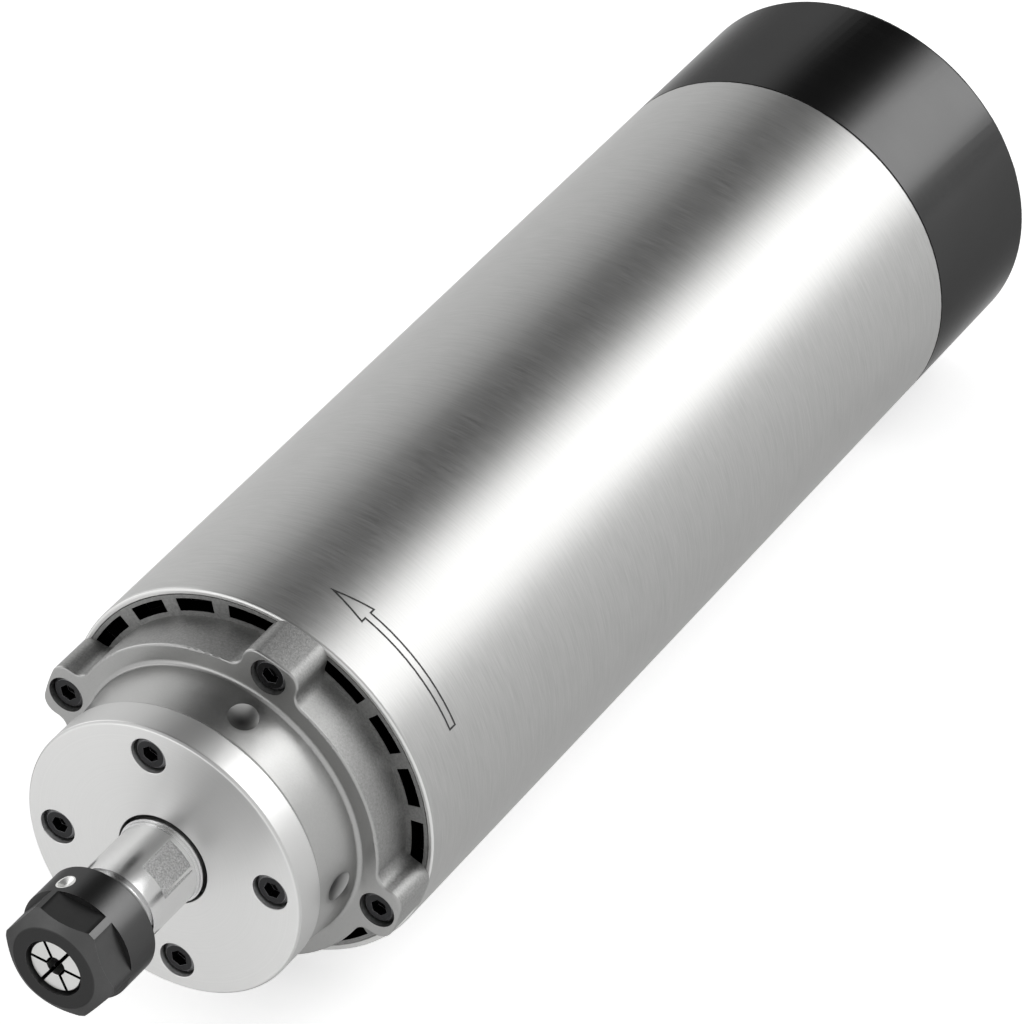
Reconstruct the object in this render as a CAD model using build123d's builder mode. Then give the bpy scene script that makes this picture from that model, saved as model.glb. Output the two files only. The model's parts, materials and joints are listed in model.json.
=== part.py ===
from build123d import *

import os
from math import cos, radians, sin, tan

# Air-cooled motor spindle with a collet nose.
# The axis of the spindle lies along Y, the nose points to -Y and +Z is up.
# The origin is on the axis, at the middle of the motor tube that a clamp holds.
# All sizes are in millimetres and all angles in degrees, turned from +X towards +Z.

os.makedirs("parts", exist_ok=True)

# Motor tube
tube_diameter = 65.0
tube_wall = 1.0
tube_length = 160.5
tube_edge = 0.3

# Front housing, a casting with four lugs and a ring of air vents
vent_ring_thickness = 3.0
lug_count = 4
lug_angle = 66.0
lug_reach = 4.7
lug_height = 8.2
lug_width = 10.0
lug_corner = 2.6
lug_root = 2.2
lug_edge = 0.35
lug_screw_inset = 3.5
boss_ledge = 3.3
boss_length = 9.8
boss_draft = 5.0
boss_root = 0.8
boss_edge = 0.4
vent_inset = 1.7
vent_height = 2.2
vent_side_angle = 15.2
vent_side_offset = 16.5
vent_angle = 12.8
vent_offset = 36.0
spigot_length = 4.0
spigot_wall = 2.0
seat_wall = 3.5
core_depth = 7.0
dimple_angles = (65.6, -12.0)
dimple_radius = 4.0
dimple_depth = 0.9
dimple_station = 5.0

# Front bearing cover
cover_inset = 0.3
cover_thickness = 5.9
cover_edge = 0.4
cover_hole = 15.7
cover_lip_height = 0.6
cover_lip_wall = 2.0
cover_recess_gap = 0.5
cover_screw_wall = 3.0
cover_screw_count = 4
cover_thread_depth = 9.0

# Socket head screws
screw_diameter = 3.0
screw_head_diameter = 5.5
screw_head_height = 3.0
screw_head_edge = 0.45
screw_socket = 2.5
screw_socket_depth = 1.6
screw_recess = 0.6
screw_hole_gap = 0.2
screw_head_gap = 0.3
screw_thread_gap = 0.05
front_housing_screw_length = 18.0
front_cover_screw_length = 9.0
rear_housing_screw_length = 14.0
rear_housing_screw_inset = 4.5
frame_thread_depth = 20.0
rear_cover_screw_length = 10.0

# Ball bearings
front_bearing_bore = 15.0
front_bearing_diameter = 32.0
front_bearing_width = 9.0
front_ball_count = 9
rear_bearing_bore = 12.0
rear_bearing_diameter = 28.0
rear_bearing_width = 8.0
rear_ball_count = 8
ball_diameter = 4.76
race_shoulder_share = 0.65
race_edge = 0.5
ball_gap = 0.08
cage_thickness = 1.2
cage_edge_gap = 0.9
cage_pocket_gap = 0.2

# Spindle shaft
nose_diameter = 14.0
nose_reach = 15.9
thread_diameter = 13.8
thread_clear_length = 3.0
collar_diameter = 14.8
collar_stand = 0.5
collar_step_diameter = 14.4
collar_step_length = 0.6
shoulder_diameter = 18.0
shoulder_height = 2.1
flats_across = 13.0
flats_length = 7.3
flats_start = 0.9
flats_angle = 40.0
relief_diameter = 7.2
relief_length = 14.0
taper_overrun = 0.6
lock_thread_diameter = 14.8
rotor_seat_diameter = 14.6
fan_seat_diameter = 10.0
shaft_edge = 0.4

# Collet and collet nut
collet_length = 18.0
collet_diameter = 11.5
collet_half_angle = 8.0
collet_face_diameter = 8.6
collet_head_diameter = 10.4
collet_head_length = 2.2
collet_groove_diameter = 9.2
collet_groove_width = 1.4
collet_land = 0.4
collet_bore = 3.175
collet_grip_length = 12.0
collet_relief_diameter = 4.2
collet_slot_width = 0.5
collet_slot_count = 6
collet_slot_angle = 49.0
collet_slot_bridge = 3.2
collet_stand = 4.35
collet_recess = 0.6
clamp_half_angle = 30.0
nut_length = 12.9
nut_diameter = 19.0
nut_flats_across = 17.0
nut_flats_length = 6.2
nut_flats_angle = 46.0
nut_face_diameter = 14.0
nut_front_cone = 1.7
nut_rear_edge = 0.4
nut_aperture = 9.64
nut_lip_diameter = 10.6
nut_lip_offset = 0.45
nut_lip_gap = 0.15
balance_hole_angle = 104.0
balance_hole_station = 4.4
balance_hole_radius = 1.35
balance_hole_depth = 0.7

# Bearing clamp on the shaft
spacer_length = 4.0
spacer_diameter = 20.0
lock_nut_length = 6.0
lock_nut_diameter = 22.0
lock_nut_slot_width = 3.5
lock_nut_slot_depth = 1.6
lock_nut_slot_count = 4

# Stator and rotor
rear_room = 22.5
fin_height = 6.2
fin_thickness = 1.2
fin_gap = 0.2
rib_width = 9.0
core_length = 60.0
core_offset = 6.5
core_back = 2.9
slot_count = 12
slot_mouth = 1.6
slot_inner_width = 3.6
slot_outer_width = 7.0
tooth_tip = 1.2
slot_liner = 0.2
end_turn_length = 15.0
end_turn_overlap = 1.5
end_turn_round_share = 0.35
rotor_diameter = 27.6
air_gap = 0.4
bar_count = 14
bar_diameter = 2.4
bar_inset = 2.0
end_ring_length = 4.0
end_ring_wall = 4.0

# Rear bearing housing
rear_flange_thickness = 6.0
rear_hub_wall = 2.5
rear_hub_length = 14.0
rear_stop_thickness = 2.0
rear_stop_wall = 4.0
rear_bearing_start = 1.6
post_diameter = 6.0
lead_hole_diameter = 4.4
washer_thickness = 0.4
washer_gap = 0.3

# Rear cover
rear_cover_length = 29.0
rear_cover_wall = 2.5
rear_cover_end = 3.0
rear_cover_spigot = 5.0
rear_cover_round = 0.8
rear_boss_diameter = 9.0
rear_boss_height = 2.5
rear_boss_gap = 0.9
grille_slot_count = 24
grille_slot_width = 2.2
grille_inner_diameter = 25.6
grille_post_distance = 4.1

# Cooling fan
fan_tip_gap = 0.6
fan_hub_diameter = 16.0
fan_length = 12.0
fan_start = 3.0
fan_blade_count = 7
fan_blade_thickness = 1.4
fan_blade_pitch = 50.0
fan_washer_diameter = 11.0
fan_washer_thickness = 1.0
fan_screw_diameter = 4.0
fan_screw_length = 10.0
fan_screw_head_diameter = 7.0
fan_screw_head_height = 2.6
fan_shaft_gap = 0.5
circlip_diameter = 14.4
circlip_groove_diameter = 11.4
circlip_thickness = 1.0
circlip_opening = 60.0

# Power connector
connector_thread_diameter = 16.0
connector_bore = 13.0
connector_reach = 8.0
connector_inner_reach = 9.0
connector_flange_diameter = 18.6
connector_flange_thickness = 2.0
connector_edge = 0.5
connector_insert_depth = 6.5
connector_nut_across = 20.0
connector_nut_thickness = 3.0
pin_count = 4
pin_diameter = 1.6
pin_circle = 7.0
pin_reach = 5.0
pin_tail = 3.5

# Leads from the windings to the connector
lead_diameter = 3.2
lead_angle = 156.0
lead_wall_gap = 1.2
lead_clear_length = 4.0
lead_bend_share = 0.45

# Fits
slip_gap = 0.05
press_gap = 0.02
running_gap = 0.05
taper_gap = 0.04
seat_gap = 0.1

# Radii, circles and angles that several pieces share
tube_radius = tube_diameter / 2
tube_bore = tube_radius - tube_wall
flange_radius = tube_radius - lug_reach
boss_base_radius = flange_radius - boss_ledge
vent_outer_radius = tube_radius - vent_inset
vent_inner_radius = vent_outer_radius - vent_height
vent_side_edge = vent_side_offset + vent_side_angle / 2
vent_bar_offset = (vent_side_edge + vent_offset - vent_angle / 2) / 2
fin_offsets = (-vent_bar_offset, vent_bar_offset, 180 / lug_count)
core_radius = tube_bore - fin_height
spigot_radius = core_radius - slip_gap
spigot_bore = spigot_radius - spigot_wall
front_bearing_radius = front_bearing_diameter / 2
rear_bearing_radius = rear_bearing_diameter / 2
rear_hub_radius = rear_bearing_radius + rear_hub_wall
rotor_radius = rotor_diameter / 2
stator_bore = rotor_radius + air_gap
slot_depth = core_radius - core_back - tooth_tip - stator_bore
shaft_radius = front_bearing_bore / 2
rear_cover_bore = tube_radius - rear_cover_wall
lug_screw_circle = tube_diameter - 2 * lug_screw_inset
rear_housing_screw_circle = tube_diameter - 2 * rear_housing_screw_inset
cover_screw_circle = front_bearing_diameter + 2 * cover_screw_wall
post_circle = 2 * (rear_cover_bore - rear_boss_gap) - rear_boss_diameter
post_angle = lug_angle + 180 / lug_count
lead_hole_circle = rear_hub_radius + spigot_bore
fan_radius = post_circle / 2 - post_diameter / 2 - fan_tip_gap
grille_outer_diameter = post_circle - 2 * grille_post_distance
screw_head_seat = screw_recess + screw_head_height
screw_hole_radius = screw_diameter / 2 + screw_hole_gap
screw_head_hole_radius = screw_head_diameter / 2 + screw_head_gap
screw_thread_radius = screw_diameter / 2 + screw_thread_gap

# Stations along the axis, from the nose to the tail
tube_front = -tube_length / 2
tube_rear = tube_length / 2
lug_face = tube_front - lug_height
boss_face = lug_face - boss_length
cover_face = boss_face - cover_thickness
nut_rear = cover_face - nose_reach
nut_front = nut_rear - nut_length
collet_front = nut_front + collet_recess
collet_rear = collet_front + collet_length
nose_face = collet_front + collet_stand
front_bearing_a = boss_face + cover_lip_height
front_bearing_b = front_bearing_a + front_bearing_width
front_race_stop = front_bearing_b + front_bearing_width
spacer_end = front_race_stop + spacer_length
lock_nut_end = spacer_end + lock_nut_length
frame_front = tube_front + vent_ring_thickness
frame_rear = tube_rear - rear_room
core_front = (frame_front + frame_rear - core_length) / 2 + core_offset
core_rear = core_front + core_length
rear_flange_back = frame_rear + rear_flange_thickness
rear_bearing_front = frame_rear + rear_bearing_start
rear_bearing_back = rear_bearing_front + rear_bearing_width
rear_hub_back = frame_rear + rear_hub_length
rear_stop_face = rear_hub_back - rear_stop_thickness
fan_front = rear_hub_back + fan_start
fan_back = fan_front + fan_length
shaft_end = fan_back - fan_shaft_gap
tail_face = tube_rear + rear_cover_length
tail_wall = tail_face - rear_cover_end
post_end = tail_wall - rear_boss_height


def across(station):
    """Plane across the axis at a station, facing the nose."""
    return Plane.XZ.offset(-station)


def beside(radius, angle, station):
    """Plane at a radius and an angle from the axis, facing outwards."""
    way = Vector(cos(radians(angle)), 0, sin(radians(angle)))
    return Plane(origin=way * radius + Vector(0, station, 0), x_dir=(0, 1, 0), z_dir=way)


def ring_profile(inner_radius, outer_radius, start, end):
    """Half section of a plain ring, with the radius along X and the axis along Y."""
    with BuildSketch() as section:
        with Locations(((inner_radius + outer_radius) / 2, (start + end) / 2)):
            Rectangle(outer_radius - inner_radius, end - start)
    return section.sketch


def turned_profile(*points):
    """Half section of a turned piece from its corners, as radius and station."""
    with BuildSketch() as section:
        with BuildLine():
            Polyline(*points, close=True)
        make_face()
    return section.sketch


def ring_sector(inner_radius, outer_radius, angle):
    """Window between two radii, centred on the X axis of its plane."""
    with BuildSketch() as sector:
        with BuildLine():
            outer = CenterArc((0, 0), outer_radius, -angle / 2, angle)
            inner = CenterArc((0, 0), inner_radius, -angle / 2, angle)
            Line(outer @ 0, inner @ 0)
            Line(outer @ 1, inner @ 1)
        make_face()
    return sector.sketch


def socket_screws(circle, angle, count, seat, length, facing):
    """Ring of socket head screws. Their heads face the nose at 1 and the tail at -1."""
    with BuildPart() as screws:
        with BuildSketch(across(seat)):
            with PolarLocations(circle / 2, count, start_angle=angle):
                Circle(screw_head_diameter / 2)
        extrude(amount=facing * screw_head_height)
        crown = screws.edges().group_by(Axis.Y)[0 if facing > 0 else -1]
        chamfer(crown, screw_head_edge)
        with BuildSketch(across(seat - facing * screw_head_height)):
            with PolarLocations(circle / 2, count, start_angle=angle):
                RegularPolygon(screw_socket / 2, 6, major_radius=False)
        extrude(amount=-facing * screw_socket_depth, mode=Mode.SUBTRACT)
        with BuildSketch(across(seat)):
            with PolarLocations(circle / 2, count, start_angle=angle):
                Circle(screw_diameter / 2)
        extrude(amount=-facing * length)
    return screws.part


def vent_windows():
    """Two windows on each side of every lug, as the air leaves between the fins."""
    side_window = ring_sector(vent_inner_radius, vent_outer_radius, vent_side_angle)
    window = ring_sector(vent_inner_radius, vent_outer_radius, vent_angle)
    with BuildSketch() as windows:
        for sector, offset in (
            (side_window, -vent_side_offset), (side_window, vent_side_offset),
            (window, -vent_offset), (window, vent_offset),
        ):
            with PolarLocations(0, lug_count, start_angle=lug_angle + offset):
                add(sector)
    return windows.sketch


def stator_slot(gap):
    """Section of one slot behind the tooth tips, drawn smaller by a gap all round."""
    inner = stator_bore + tooth_tip + gap
    outer = stator_bore + tooth_tip + slot_depth - gap
    inner_half = slot_inner_width / 2 - gap
    outer_half = slot_outer_width / 2 - gap
    return turned_profile(
        (inner, -inner_half), (outer, -outer_half), (outer, outer_half), (inner, inner_half)
    )


# Motor tube
with BuildPart() as motor_tube:
    revolve(ring_profile(tube_bore, tube_radius, tube_front, tube_rear), axis=Axis.Y)
    rims = motor_tube.edges().filter_by(GeomType.CIRCLE).sort_by(SortBy.RADIUS)[-2:]
    chamfer(rims, tube_edge)
motor_tube.part.label = "motor_tube"
export_step(motor_tube.part, "parts/motor_tube.step")

# Front housing: drafted boss, flange, lugs flush with the tube, and the vent ring
boss_tip_radius = boss_base_radius - boss_length * tan(radians(boss_draft))
seat_radius = front_bearing_radius + press_gap
seat_wall_radius = front_bearing_radius + seat_wall
race_stop_radius = front_bearing_radius - cover_lip_wall
with BuildPart() as front_housing:
    revolve(
        turned_profile(
            (seat_radius, boss_face),
            (boss_tip_radius - boss_edge, boss_face),
            (boss_tip_radius, boss_face + boss_edge),
            (boss_base_radius, lug_face),
            (flange_radius, lug_face),
            (flange_radius, tube_front),
            (tube_bore - slip_gap, tube_front),
            (tube_bore - slip_gap, frame_front),
            (spigot_radius, frame_front),
            (spigot_radius, frame_front + spigot_length),
            (spigot_bore, frame_front + spigot_length),
            (spigot_bore, frame_front - core_depth),
            (seat_wall_radius, frame_front - core_depth),
            (seat_wall_radius, frame_front),
            (race_stop_radius, frame_front),
            (race_stop_radius, front_race_stop),
            (seat_radius, front_race_stop),
        ),
        axis=Axis.Y,
    )
    boss_foot = front_housing.edges().filter_by_position(
        Axis.Y, lug_face - lug_edge, lug_face + lug_edge
    )
    fillet(boss_foot.sort_by(SortBy.RADIUS)[0], boss_root)
    with BuildSketch(across(lug_face)) as lugs:
        with PolarLocations(0, lug_count, start_angle=lug_angle):
            Rectangle(tube_radius, lug_width, align=(Align.MIN, Align.CENTER))
        Circle(tube_radius, mode=Mode.INTERSECT)
        Circle(flange_radius)
        fillet(lugs.vertices().group_by(SortBy.DISTANCE)[-1], lug_corner)
        fillet(lugs.vertices().group_by(SortBy.DISTANCE)[0], lug_root)
        Circle(spigot_radius, mode=Mode.SUBTRACT)
    extrude(amount=-lug_height)
    lug_plane = front_housing.faces().filter_by(Axis.Y).group_by(Axis.Y)[1].sort_by(Axis.Y)[0]
    fillet(lug_plane.outer_wire().edges(), lug_edge)
    with BuildSketch(across(tube_front)):
        add(vent_windows())
    extrude(amount=-vent_ring_thickness, mode=Mode.SUBTRACT)
    with Locations(across(lug_face)):
        with PolarLocations(lug_screw_circle / 2, lug_count, start_angle=lug_angle):
            CounterBoreHole(
                screw_hole_radius, screw_head_hole_radius, screw_head_seat,
                lug_height + vent_ring_thickness,
            )
    with Locations(across(boss_face)):
        with PolarLocations(cover_screw_circle / 2, cover_screw_count):
            Hole(screw_thread_radius, cover_thread_depth)
    boss_surface = (boss_base_radius + boss_tip_radius) / 2
    dimples = [
        beside(boss_surface + dimple_radius - dimple_depth, angle, lug_face - dimple_station)
        for angle in dimple_angles
    ]
    with Locations(*dimples):
        Sphere(dimple_radius, mode=Mode.SUBTRACT)
front_housing.part.label = "front_housing"
export_step(front_housing.part, "parts/front_housing.step")

# Screws that pull the front housing onto the stator frame
front_housing_screws = socket_screws(
    lug_screw_circle, lug_angle, lug_count,
    lug_face + screw_head_seat, front_housing_screw_length, 1,
)
front_housing_screws.label = "front_housing_screws"
export_step(front_housing_screws, "parts/front_housing_screws.step")

# Front bearing cover, with a lip that holds the outer races
cover_radius = boss_base_radius - cover_inset
shoulder_face = front_bearing_a - shoulder_height
cover_recess_radius = shoulder_diameter / 2 + cover_recess_gap
cover_recess_face = shoulder_face - cover_recess_gap
cover_lip_radius = front_bearing_radius - slip_gap
with BuildPart() as front_bearing_cover:
    revolve(
        turned_profile(
            (cover_hole / 2, cover_face),
            (cover_radius - cover_edge, cover_face),
            (cover_radius, cover_face + cover_edge),
            (cover_radius, boss_face - cover_edge),
            (cover_radius - cover_edge, boss_face),
            (cover_lip_radius, boss_face),
            (cover_lip_radius, front_bearing_a),
            (cover_lip_radius - cover_lip_wall, front_bearing_a),
            (cover_lip_radius - cover_lip_wall, boss_face),
            (cover_recess_radius, boss_face),
            (cover_recess_radius, cover_recess_face),
            (cover_hole / 2, cover_recess_face),
        ),
        axis=Axis.Y,
    )
    with Locations(across(cover_face)):
        with PolarLocations(cover_screw_circle / 2, cover_screw_count):
            CounterBoreHole(
                screw_hole_radius, screw_head_hole_radius, screw_head_seat, cover_thickness
            )
front_bearing_cover.part.label = "front_bearing_cover"
export_step(front_bearing_cover.part, "parts/front_bearing_cover.step")

front_cover_screws = socket_screws(
    cover_screw_circle, 0, cover_screw_count,
    cover_face + screw_head_seat, front_cover_screw_length, 1,
)
front_cover_screws.label = "front_cover_screws"
export_step(front_cover_screws, "parts/front_cover_screws.step")


def ball_bearing(name, bore, diameter, width, ball_count, start):
    """Deep groove bearing as four pieces: both races, the balls and their cage."""
    ball_radius = ball_diameter / 2
    pitch_radius = (bore + diameter) / 4
    middle = start + width / 2
    inner_land = pitch_radius - race_shoulder_share * ball_radius
    outer_land = pitch_radius + race_shoulder_share * ball_radius
    with BuildSketch() as groove:
        with Locations((pitch_radius, middle)):
            Circle(ball_radius + ball_gap)

    with BuildPart() as inner_race:
        revolve(ring_profile(bore / 2 + press_gap, inner_land, start, start + width), axis=Axis.Y)
        revolve(groove.sketch, axis=Axis.Y, mode=Mode.SUBTRACT)
    inner_race.part.label = f"{name}_inner_race"
    export_step(inner_race.part, f"parts/{name}_inner_race.step")

    with BuildPart() as outer_race:
        revolve(ring_profile(outer_land, diameter / 2, start, start + width), axis=Axis.Y)
        rims = outer_race.edges().filter_by(GeomType.CIRCLE).sort_by(SortBy.RADIUS)[-2:]
        chamfer(rims, race_edge)
        revolve(groove.sketch, axis=Axis.Y, mode=Mode.SUBTRACT)
    outer_race.part.label = f"{name}_outer_race"
    export_step(outer_race.part, f"parts/{name}_outer_race.step")

    with BuildPart() as balls:
        with Locations(across(middle)):
            with PolarLocations(pitch_radius, ball_count):
                Sphere(ball_radius)
    balls.part.label = f"{name}_balls"
    export_step(balls.part, f"parts/{name}_balls.step")

    with BuildPart() as cage:
        revolve(
            ring_profile(
                pitch_radius - cage_thickness / 2, pitch_radius + cage_thickness / 2,
                start + cage_edge_gap, start + width - cage_edge_gap,
            ),
            axis=Axis.Y,
        )
        pockets = [beside(0, 360 * ball / ball_count, middle) for ball in range(ball_count)]
        with Locations(*pockets):
            Cylinder(
                ball_radius + cage_pocket_gap, diameter / 2,
                align=(Align.CENTER, Align.CENTER, Align.MIN), mode=Mode.SUBTRACT,
            )
    cage.part.label = f"{name}_cage"
    export_step(cage.part, f"parts/{name}_cage.step")


for bearing, station in (("front_bearing_a", front_bearing_a), ("front_bearing_b", front_bearing_b)):
    ball_bearing(
        bearing, front_bearing_bore, front_bearing_diameter, front_bearing_width,
        front_ball_count, station,
    )
ball_bearing(
    "rear_bearing", rear_bearing_bore, rear_bearing_diameter, rear_bearing_width,
    rear_ball_count, rear_bearing_front,
)

# Spindle shaft: collet taper, thread, spanner flats, collar, bearing and rotor seats
taper_slope = tan(radians(collet_half_angle))
collet_taper_start = collet_head_length + collet_groove_width + collet_land
mouth_radius = collet_diameter / 2 - (collet_stand - collet_taper_start) * taper_slope + taper_gap
taper_length = collet_rear + taper_overrun - nose_face
taper_end_radius = mouth_radius - taper_length * taper_slope
collar_front = cover_face - collar_stand
flats_front = collar_front - collar_step_length - flats_start - flats_length
with BuildPart() as spindle_shaft:
    revolve(
        turned_profile(
            (mouth_radius, nose_face),
            (thread_diameter / 2 - shaft_edge, nose_face),
            (thread_diameter / 2, nose_face + shaft_edge),
            (thread_diameter / 2, nut_rear + thread_clear_length),
            (nose_diameter / 2, nut_rear + thread_clear_length),
            (nose_diameter / 2, collar_front - collar_step_length),
            (collar_step_diameter / 2, collar_front - collar_step_length),
            (collar_step_diameter / 2, collar_front),
            (collar_diameter / 2, collar_front),
            (collar_diameter / 2, shoulder_face),
            (shoulder_diameter / 2, shoulder_face),
            (shoulder_diameter / 2, front_bearing_a),
            (shaft_radius, front_bearing_a),
            (shaft_radius, spacer_end),
            (lock_thread_diameter / 2, spacer_end),
            (lock_thread_diameter / 2, lock_nut_end),
            (rotor_seat_diameter / 2, lock_nut_end),
            (rotor_seat_diameter / 2, rear_bearing_front),
            (rear_bearing_bore / 2, rear_bearing_front),
            (rear_bearing_bore / 2, rear_bearing_back),
            (circlip_groove_diameter / 2, rear_bearing_back),
            (circlip_groove_diameter / 2, rear_bearing_back + circlip_thickness),
            (rear_bearing_bore / 2, rear_bearing_back + circlip_thickness),
            (rear_bearing_bore / 2, fan_front),
            (fan_seat_diameter / 2, fan_front),
            (fan_seat_diameter / 2, shaft_end),
            (fan_screw_diameter / 2 + screw_thread_gap, shaft_end),
            (fan_screw_diameter / 2 + screw_thread_gap, shaft_end - fan_screw_length),
            (0, shaft_end - fan_screw_length),
            (0, nose_face + taper_length + relief_length),
            (relief_diameter / 2, nose_face + taper_length + relief_length),
            (relief_diameter / 2, nose_face + taper_length),
            (taper_end_radius, nose_face + taper_length),
        ),
        axis=Axis.Y,
    )
    with BuildSketch(across(flats_front)):
        with PolarLocations(flats_across / 2, 2, start_angle=flats_angle):
            Rectangle(nose_diameter, 2 * nose_diameter, align=(Align.MIN, Align.CENTER))
    extrude(amount=-flats_length, mode=Mode.SUBTRACT)
spindle_shaft.part.label = "spindle_shaft"
export_step(spindle_shaft.part, "parts/spindle_shaft.step")

# Spacer and slotted nut that clamp the front inner races against the shoulder
with BuildPart() as bearing_spacer:
    revolve(
        ring_profile(shaft_radius + slip_gap, spacer_diameter / 2, front_race_stop, spacer_end),
        axis=Axis.Y,
    )
bearing_spacer.part.label = "bearing_spacer"
export_step(bearing_spacer.part, "parts/bearing_spacer.step")

with BuildPart() as bearing_lock_nut:
    revolve(
        ring_profile(
            lock_thread_diameter / 2 + slip_gap, lock_nut_diameter / 2, spacer_end, lock_nut_end
        ),
        axis=Axis.Y,
    )
    with BuildSketch(across(spacer_end)):
        with PolarLocations(lock_nut_diameter / 2, lock_nut_slot_count):
            Rectangle(2 * lock_nut_slot_depth, lock_nut_slot_width)
    extrude(amount=-lock_nut_length, mode=Mode.SUBTRACT)
bearing_lock_nut.part.label = "bearing_lock_nut"
export_step(bearing_lock_nut.part, "parts/bearing_lock_nut.step")

# Collet: clamping cone, head, extraction groove and long taper, slit from both ends
with BuildPart() as collet:
    face_radius = collet_face_diameter / 2
    head_radius = collet_head_diameter / 2
    cone_length = (head_radius - face_radius) / tan(radians(clamp_half_angle))
    groove_start = collet_front + collet_head_length
    taper_start = collet_front + collet_taper_start
    collet_tail_radius = collet_diameter / 2 - (collet_length - collet_taper_start) * taper_slope
    revolve(
        turned_profile(
            (collet_bore / 2, collet_front),
            (face_radius, collet_front),
            (head_radius, collet_front + cone_length),
            (head_radius, groove_start),
            (collet_groove_diameter / 2, groove_start),
            (collet_groove_diameter / 2, groove_start + collet_groove_width),
            (collet_diameter / 2, groove_start + collet_groove_width),
            (collet_diameter / 2, taper_start),
            (collet_tail_radius, collet_rear),
            (collet_relief_diameter / 2, collet_rear),
            (collet_relief_diameter / 2, collet_front + collet_grip_length),
            (collet_bore / 2, collet_front + collet_grip_length),
        ),
        axis=Axis.Y,
    )
    slit_length = collet_length - collet_slot_bridge
    half_pitch = 180 / collet_slot_count
    with BuildSketch(across(collet_front)):
        with PolarLocations(0, collet_slot_count, start_angle=collet_slot_angle):
            Rectangle(collet_diameter, collet_slot_width, align=(Align.MIN, Align.CENTER))
    extrude(amount=-slit_length, mode=Mode.SUBTRACT)
    with BuildSketch(across(collet_rear)):
        with PolarLocations(0, collet_slot_count, start_angle=collet_slot_angle + half_pitch):
            Rectangle(collet_diameter, collet_slot_width, align=(Align.MIN, Align.CENTER))
    extrude(amount=slit_length - collet_taper_start, mode=Mode.SUBTRACT)
collet.part.label = "collet"
export_step(collet.part, "parts/collet.step")

# Collet nut: hexagon in front, round body behind, clamping cone and offset lip inside
with BuildPart() as collet_nut:
    lip_front = groove_start + nut_lip_gap
    lip_rear = groove_start + collet_groove_width - nut_lip_gap
    aperture_radius = nut_aperture / 2
    clamp_slope = tan(radians(clamp_half_angle))
    cone_front = collet_front + (aperture_radius - seat_gap - face_radius) / clamp_slope
    cone_rear_radius = aperture_radius + (lip_front - cone_front) * clamp_slope
    nut_bore = thread_diameter / 2 + running_gap
    revolve(
        turned_profile(
            (aperture_radius, nut_front),
            (nut_face_diameter / 2, nut_front),
            (nut_diameter / 2, nut_front + nut_front_cone),
            (nut_diameter / 2, nut_rear - nut_rear_edge),
            (nut_diameter / 2 - nut_rear_edge, nut_rear),
            (nut_bore + nut_rear_edge, nut_rear),
            (nut_bore, nut_rear - nut_rear_edge),
            (nut_bore, lip_rear),
            (collet_head_diameter / 2 - nut_lip_offset, lip_rear),
            (collet_head_diameter / 2 - nut_lip_offset, lip_front),
            (cone_rear_radius, lip_front),
            (aperture_radius, cone_front),
        ),
        axis=Axis.Y,
    )
    with BuildSketch(across(lip_front)):
        with Locations((nut_lip_offset, 0)):
            Circle(nut_lip_diameter / 2)
    extrude(amount=lip_front - lip_rear, mode=Mode.SUBTRACT)
    with BuildSketch(across(nut_front)):
        Circle(nut_diameter)
        RegularPolygon(
            nut_flats_across / 2, 6, major_radius=False, rotation=nut_flats_angle,
            mode=Mode.SUBTRACT,
        )
    extrude(amount=-nut_flats_length, mode=Mode.SUBTRACT)
    drill_point = beside(
        nut_diameter / 2 - balance_hole_depth, balance_hole_angle, nut_rear - balance_hole_station
    )
    with Locations(drill_point):
        Cone(
            0, 2 * balance_hole_radius, 2 * balance_hole_depth,
            align=(Align.CENTER, Align.CENTER, Align.MIN), mode=Mode.SUBTRACT,
        )
collet_nut.part.label = "collet_nut"
export_step(collet_nut.part, "parts/collet_nut.step")

# Stator frame: finned sleeve whose channels end at the vents
with BuildPart() as stator_frame:
    with BuildSketch(across(frame_front)):
        with PolarLocations(0, lug_count, start_angle=lug_angle):
            Rectangle(tube_bore, rib_width, align=(Align.MIN, Align.CENTER))
        for offset in fin_offsets:
            with PolarLocations(0, lug_count, start_angle=lug_angle + offset):
                Rectangle(tube_bore, fin_thickness, align=(Align.MIN, Align.CENTER))
        Circle(tube_bore - fin_gap, mode=Mode.INTERSECT)
        Circle(flange_radius)
        Circle(core_radius, mode=Mode.SUBTRACT)
    extrude(amount=frame_front - frame_rear)
    for circle, station, way in (
        (lug_screw_circle, frame_front, -1), (rear_housing_screw_circle, frame_rear, 1),
    ):
        with BuildSketch(across(station)):
            with PolarLocations(circle / 2, lug_count, start_angle=lug_angle):
                Circle(screw_thread_radius)
        extrude(amount=way * frame_thread_depth, mode=Mode.SUBTRACT)
stator_frame.part.label = "stator_frame"
export_step(stator_frame.part, "parts/stator_frame.step")

# Stator core: lamination stack with open slots
with BuildPart() as stator_core:
    with BuildSketch(across(core_front)):
        Circle(core_radius - press_gap)
        Circle(stator_bore, mode=Mode.SUBTRACT)
        with PolarLocations(0, slot_count):
            add(stator_slot(0), mode=Mode.SUBTRACT)
        with PolarLocations(0, slot_count):
            Rectangle(
                stator_bore + tooth_tip + slot_mouth, slot_mouth,
                align=(Align.MIN, Align.CENTER), mode=Mode.SUBTRACT,
            )
    extrude(amount=-core_length)
stator_core.part.label = "stator_core"
export_step(stator_core.part, "parts/stator_core.step")

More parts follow.
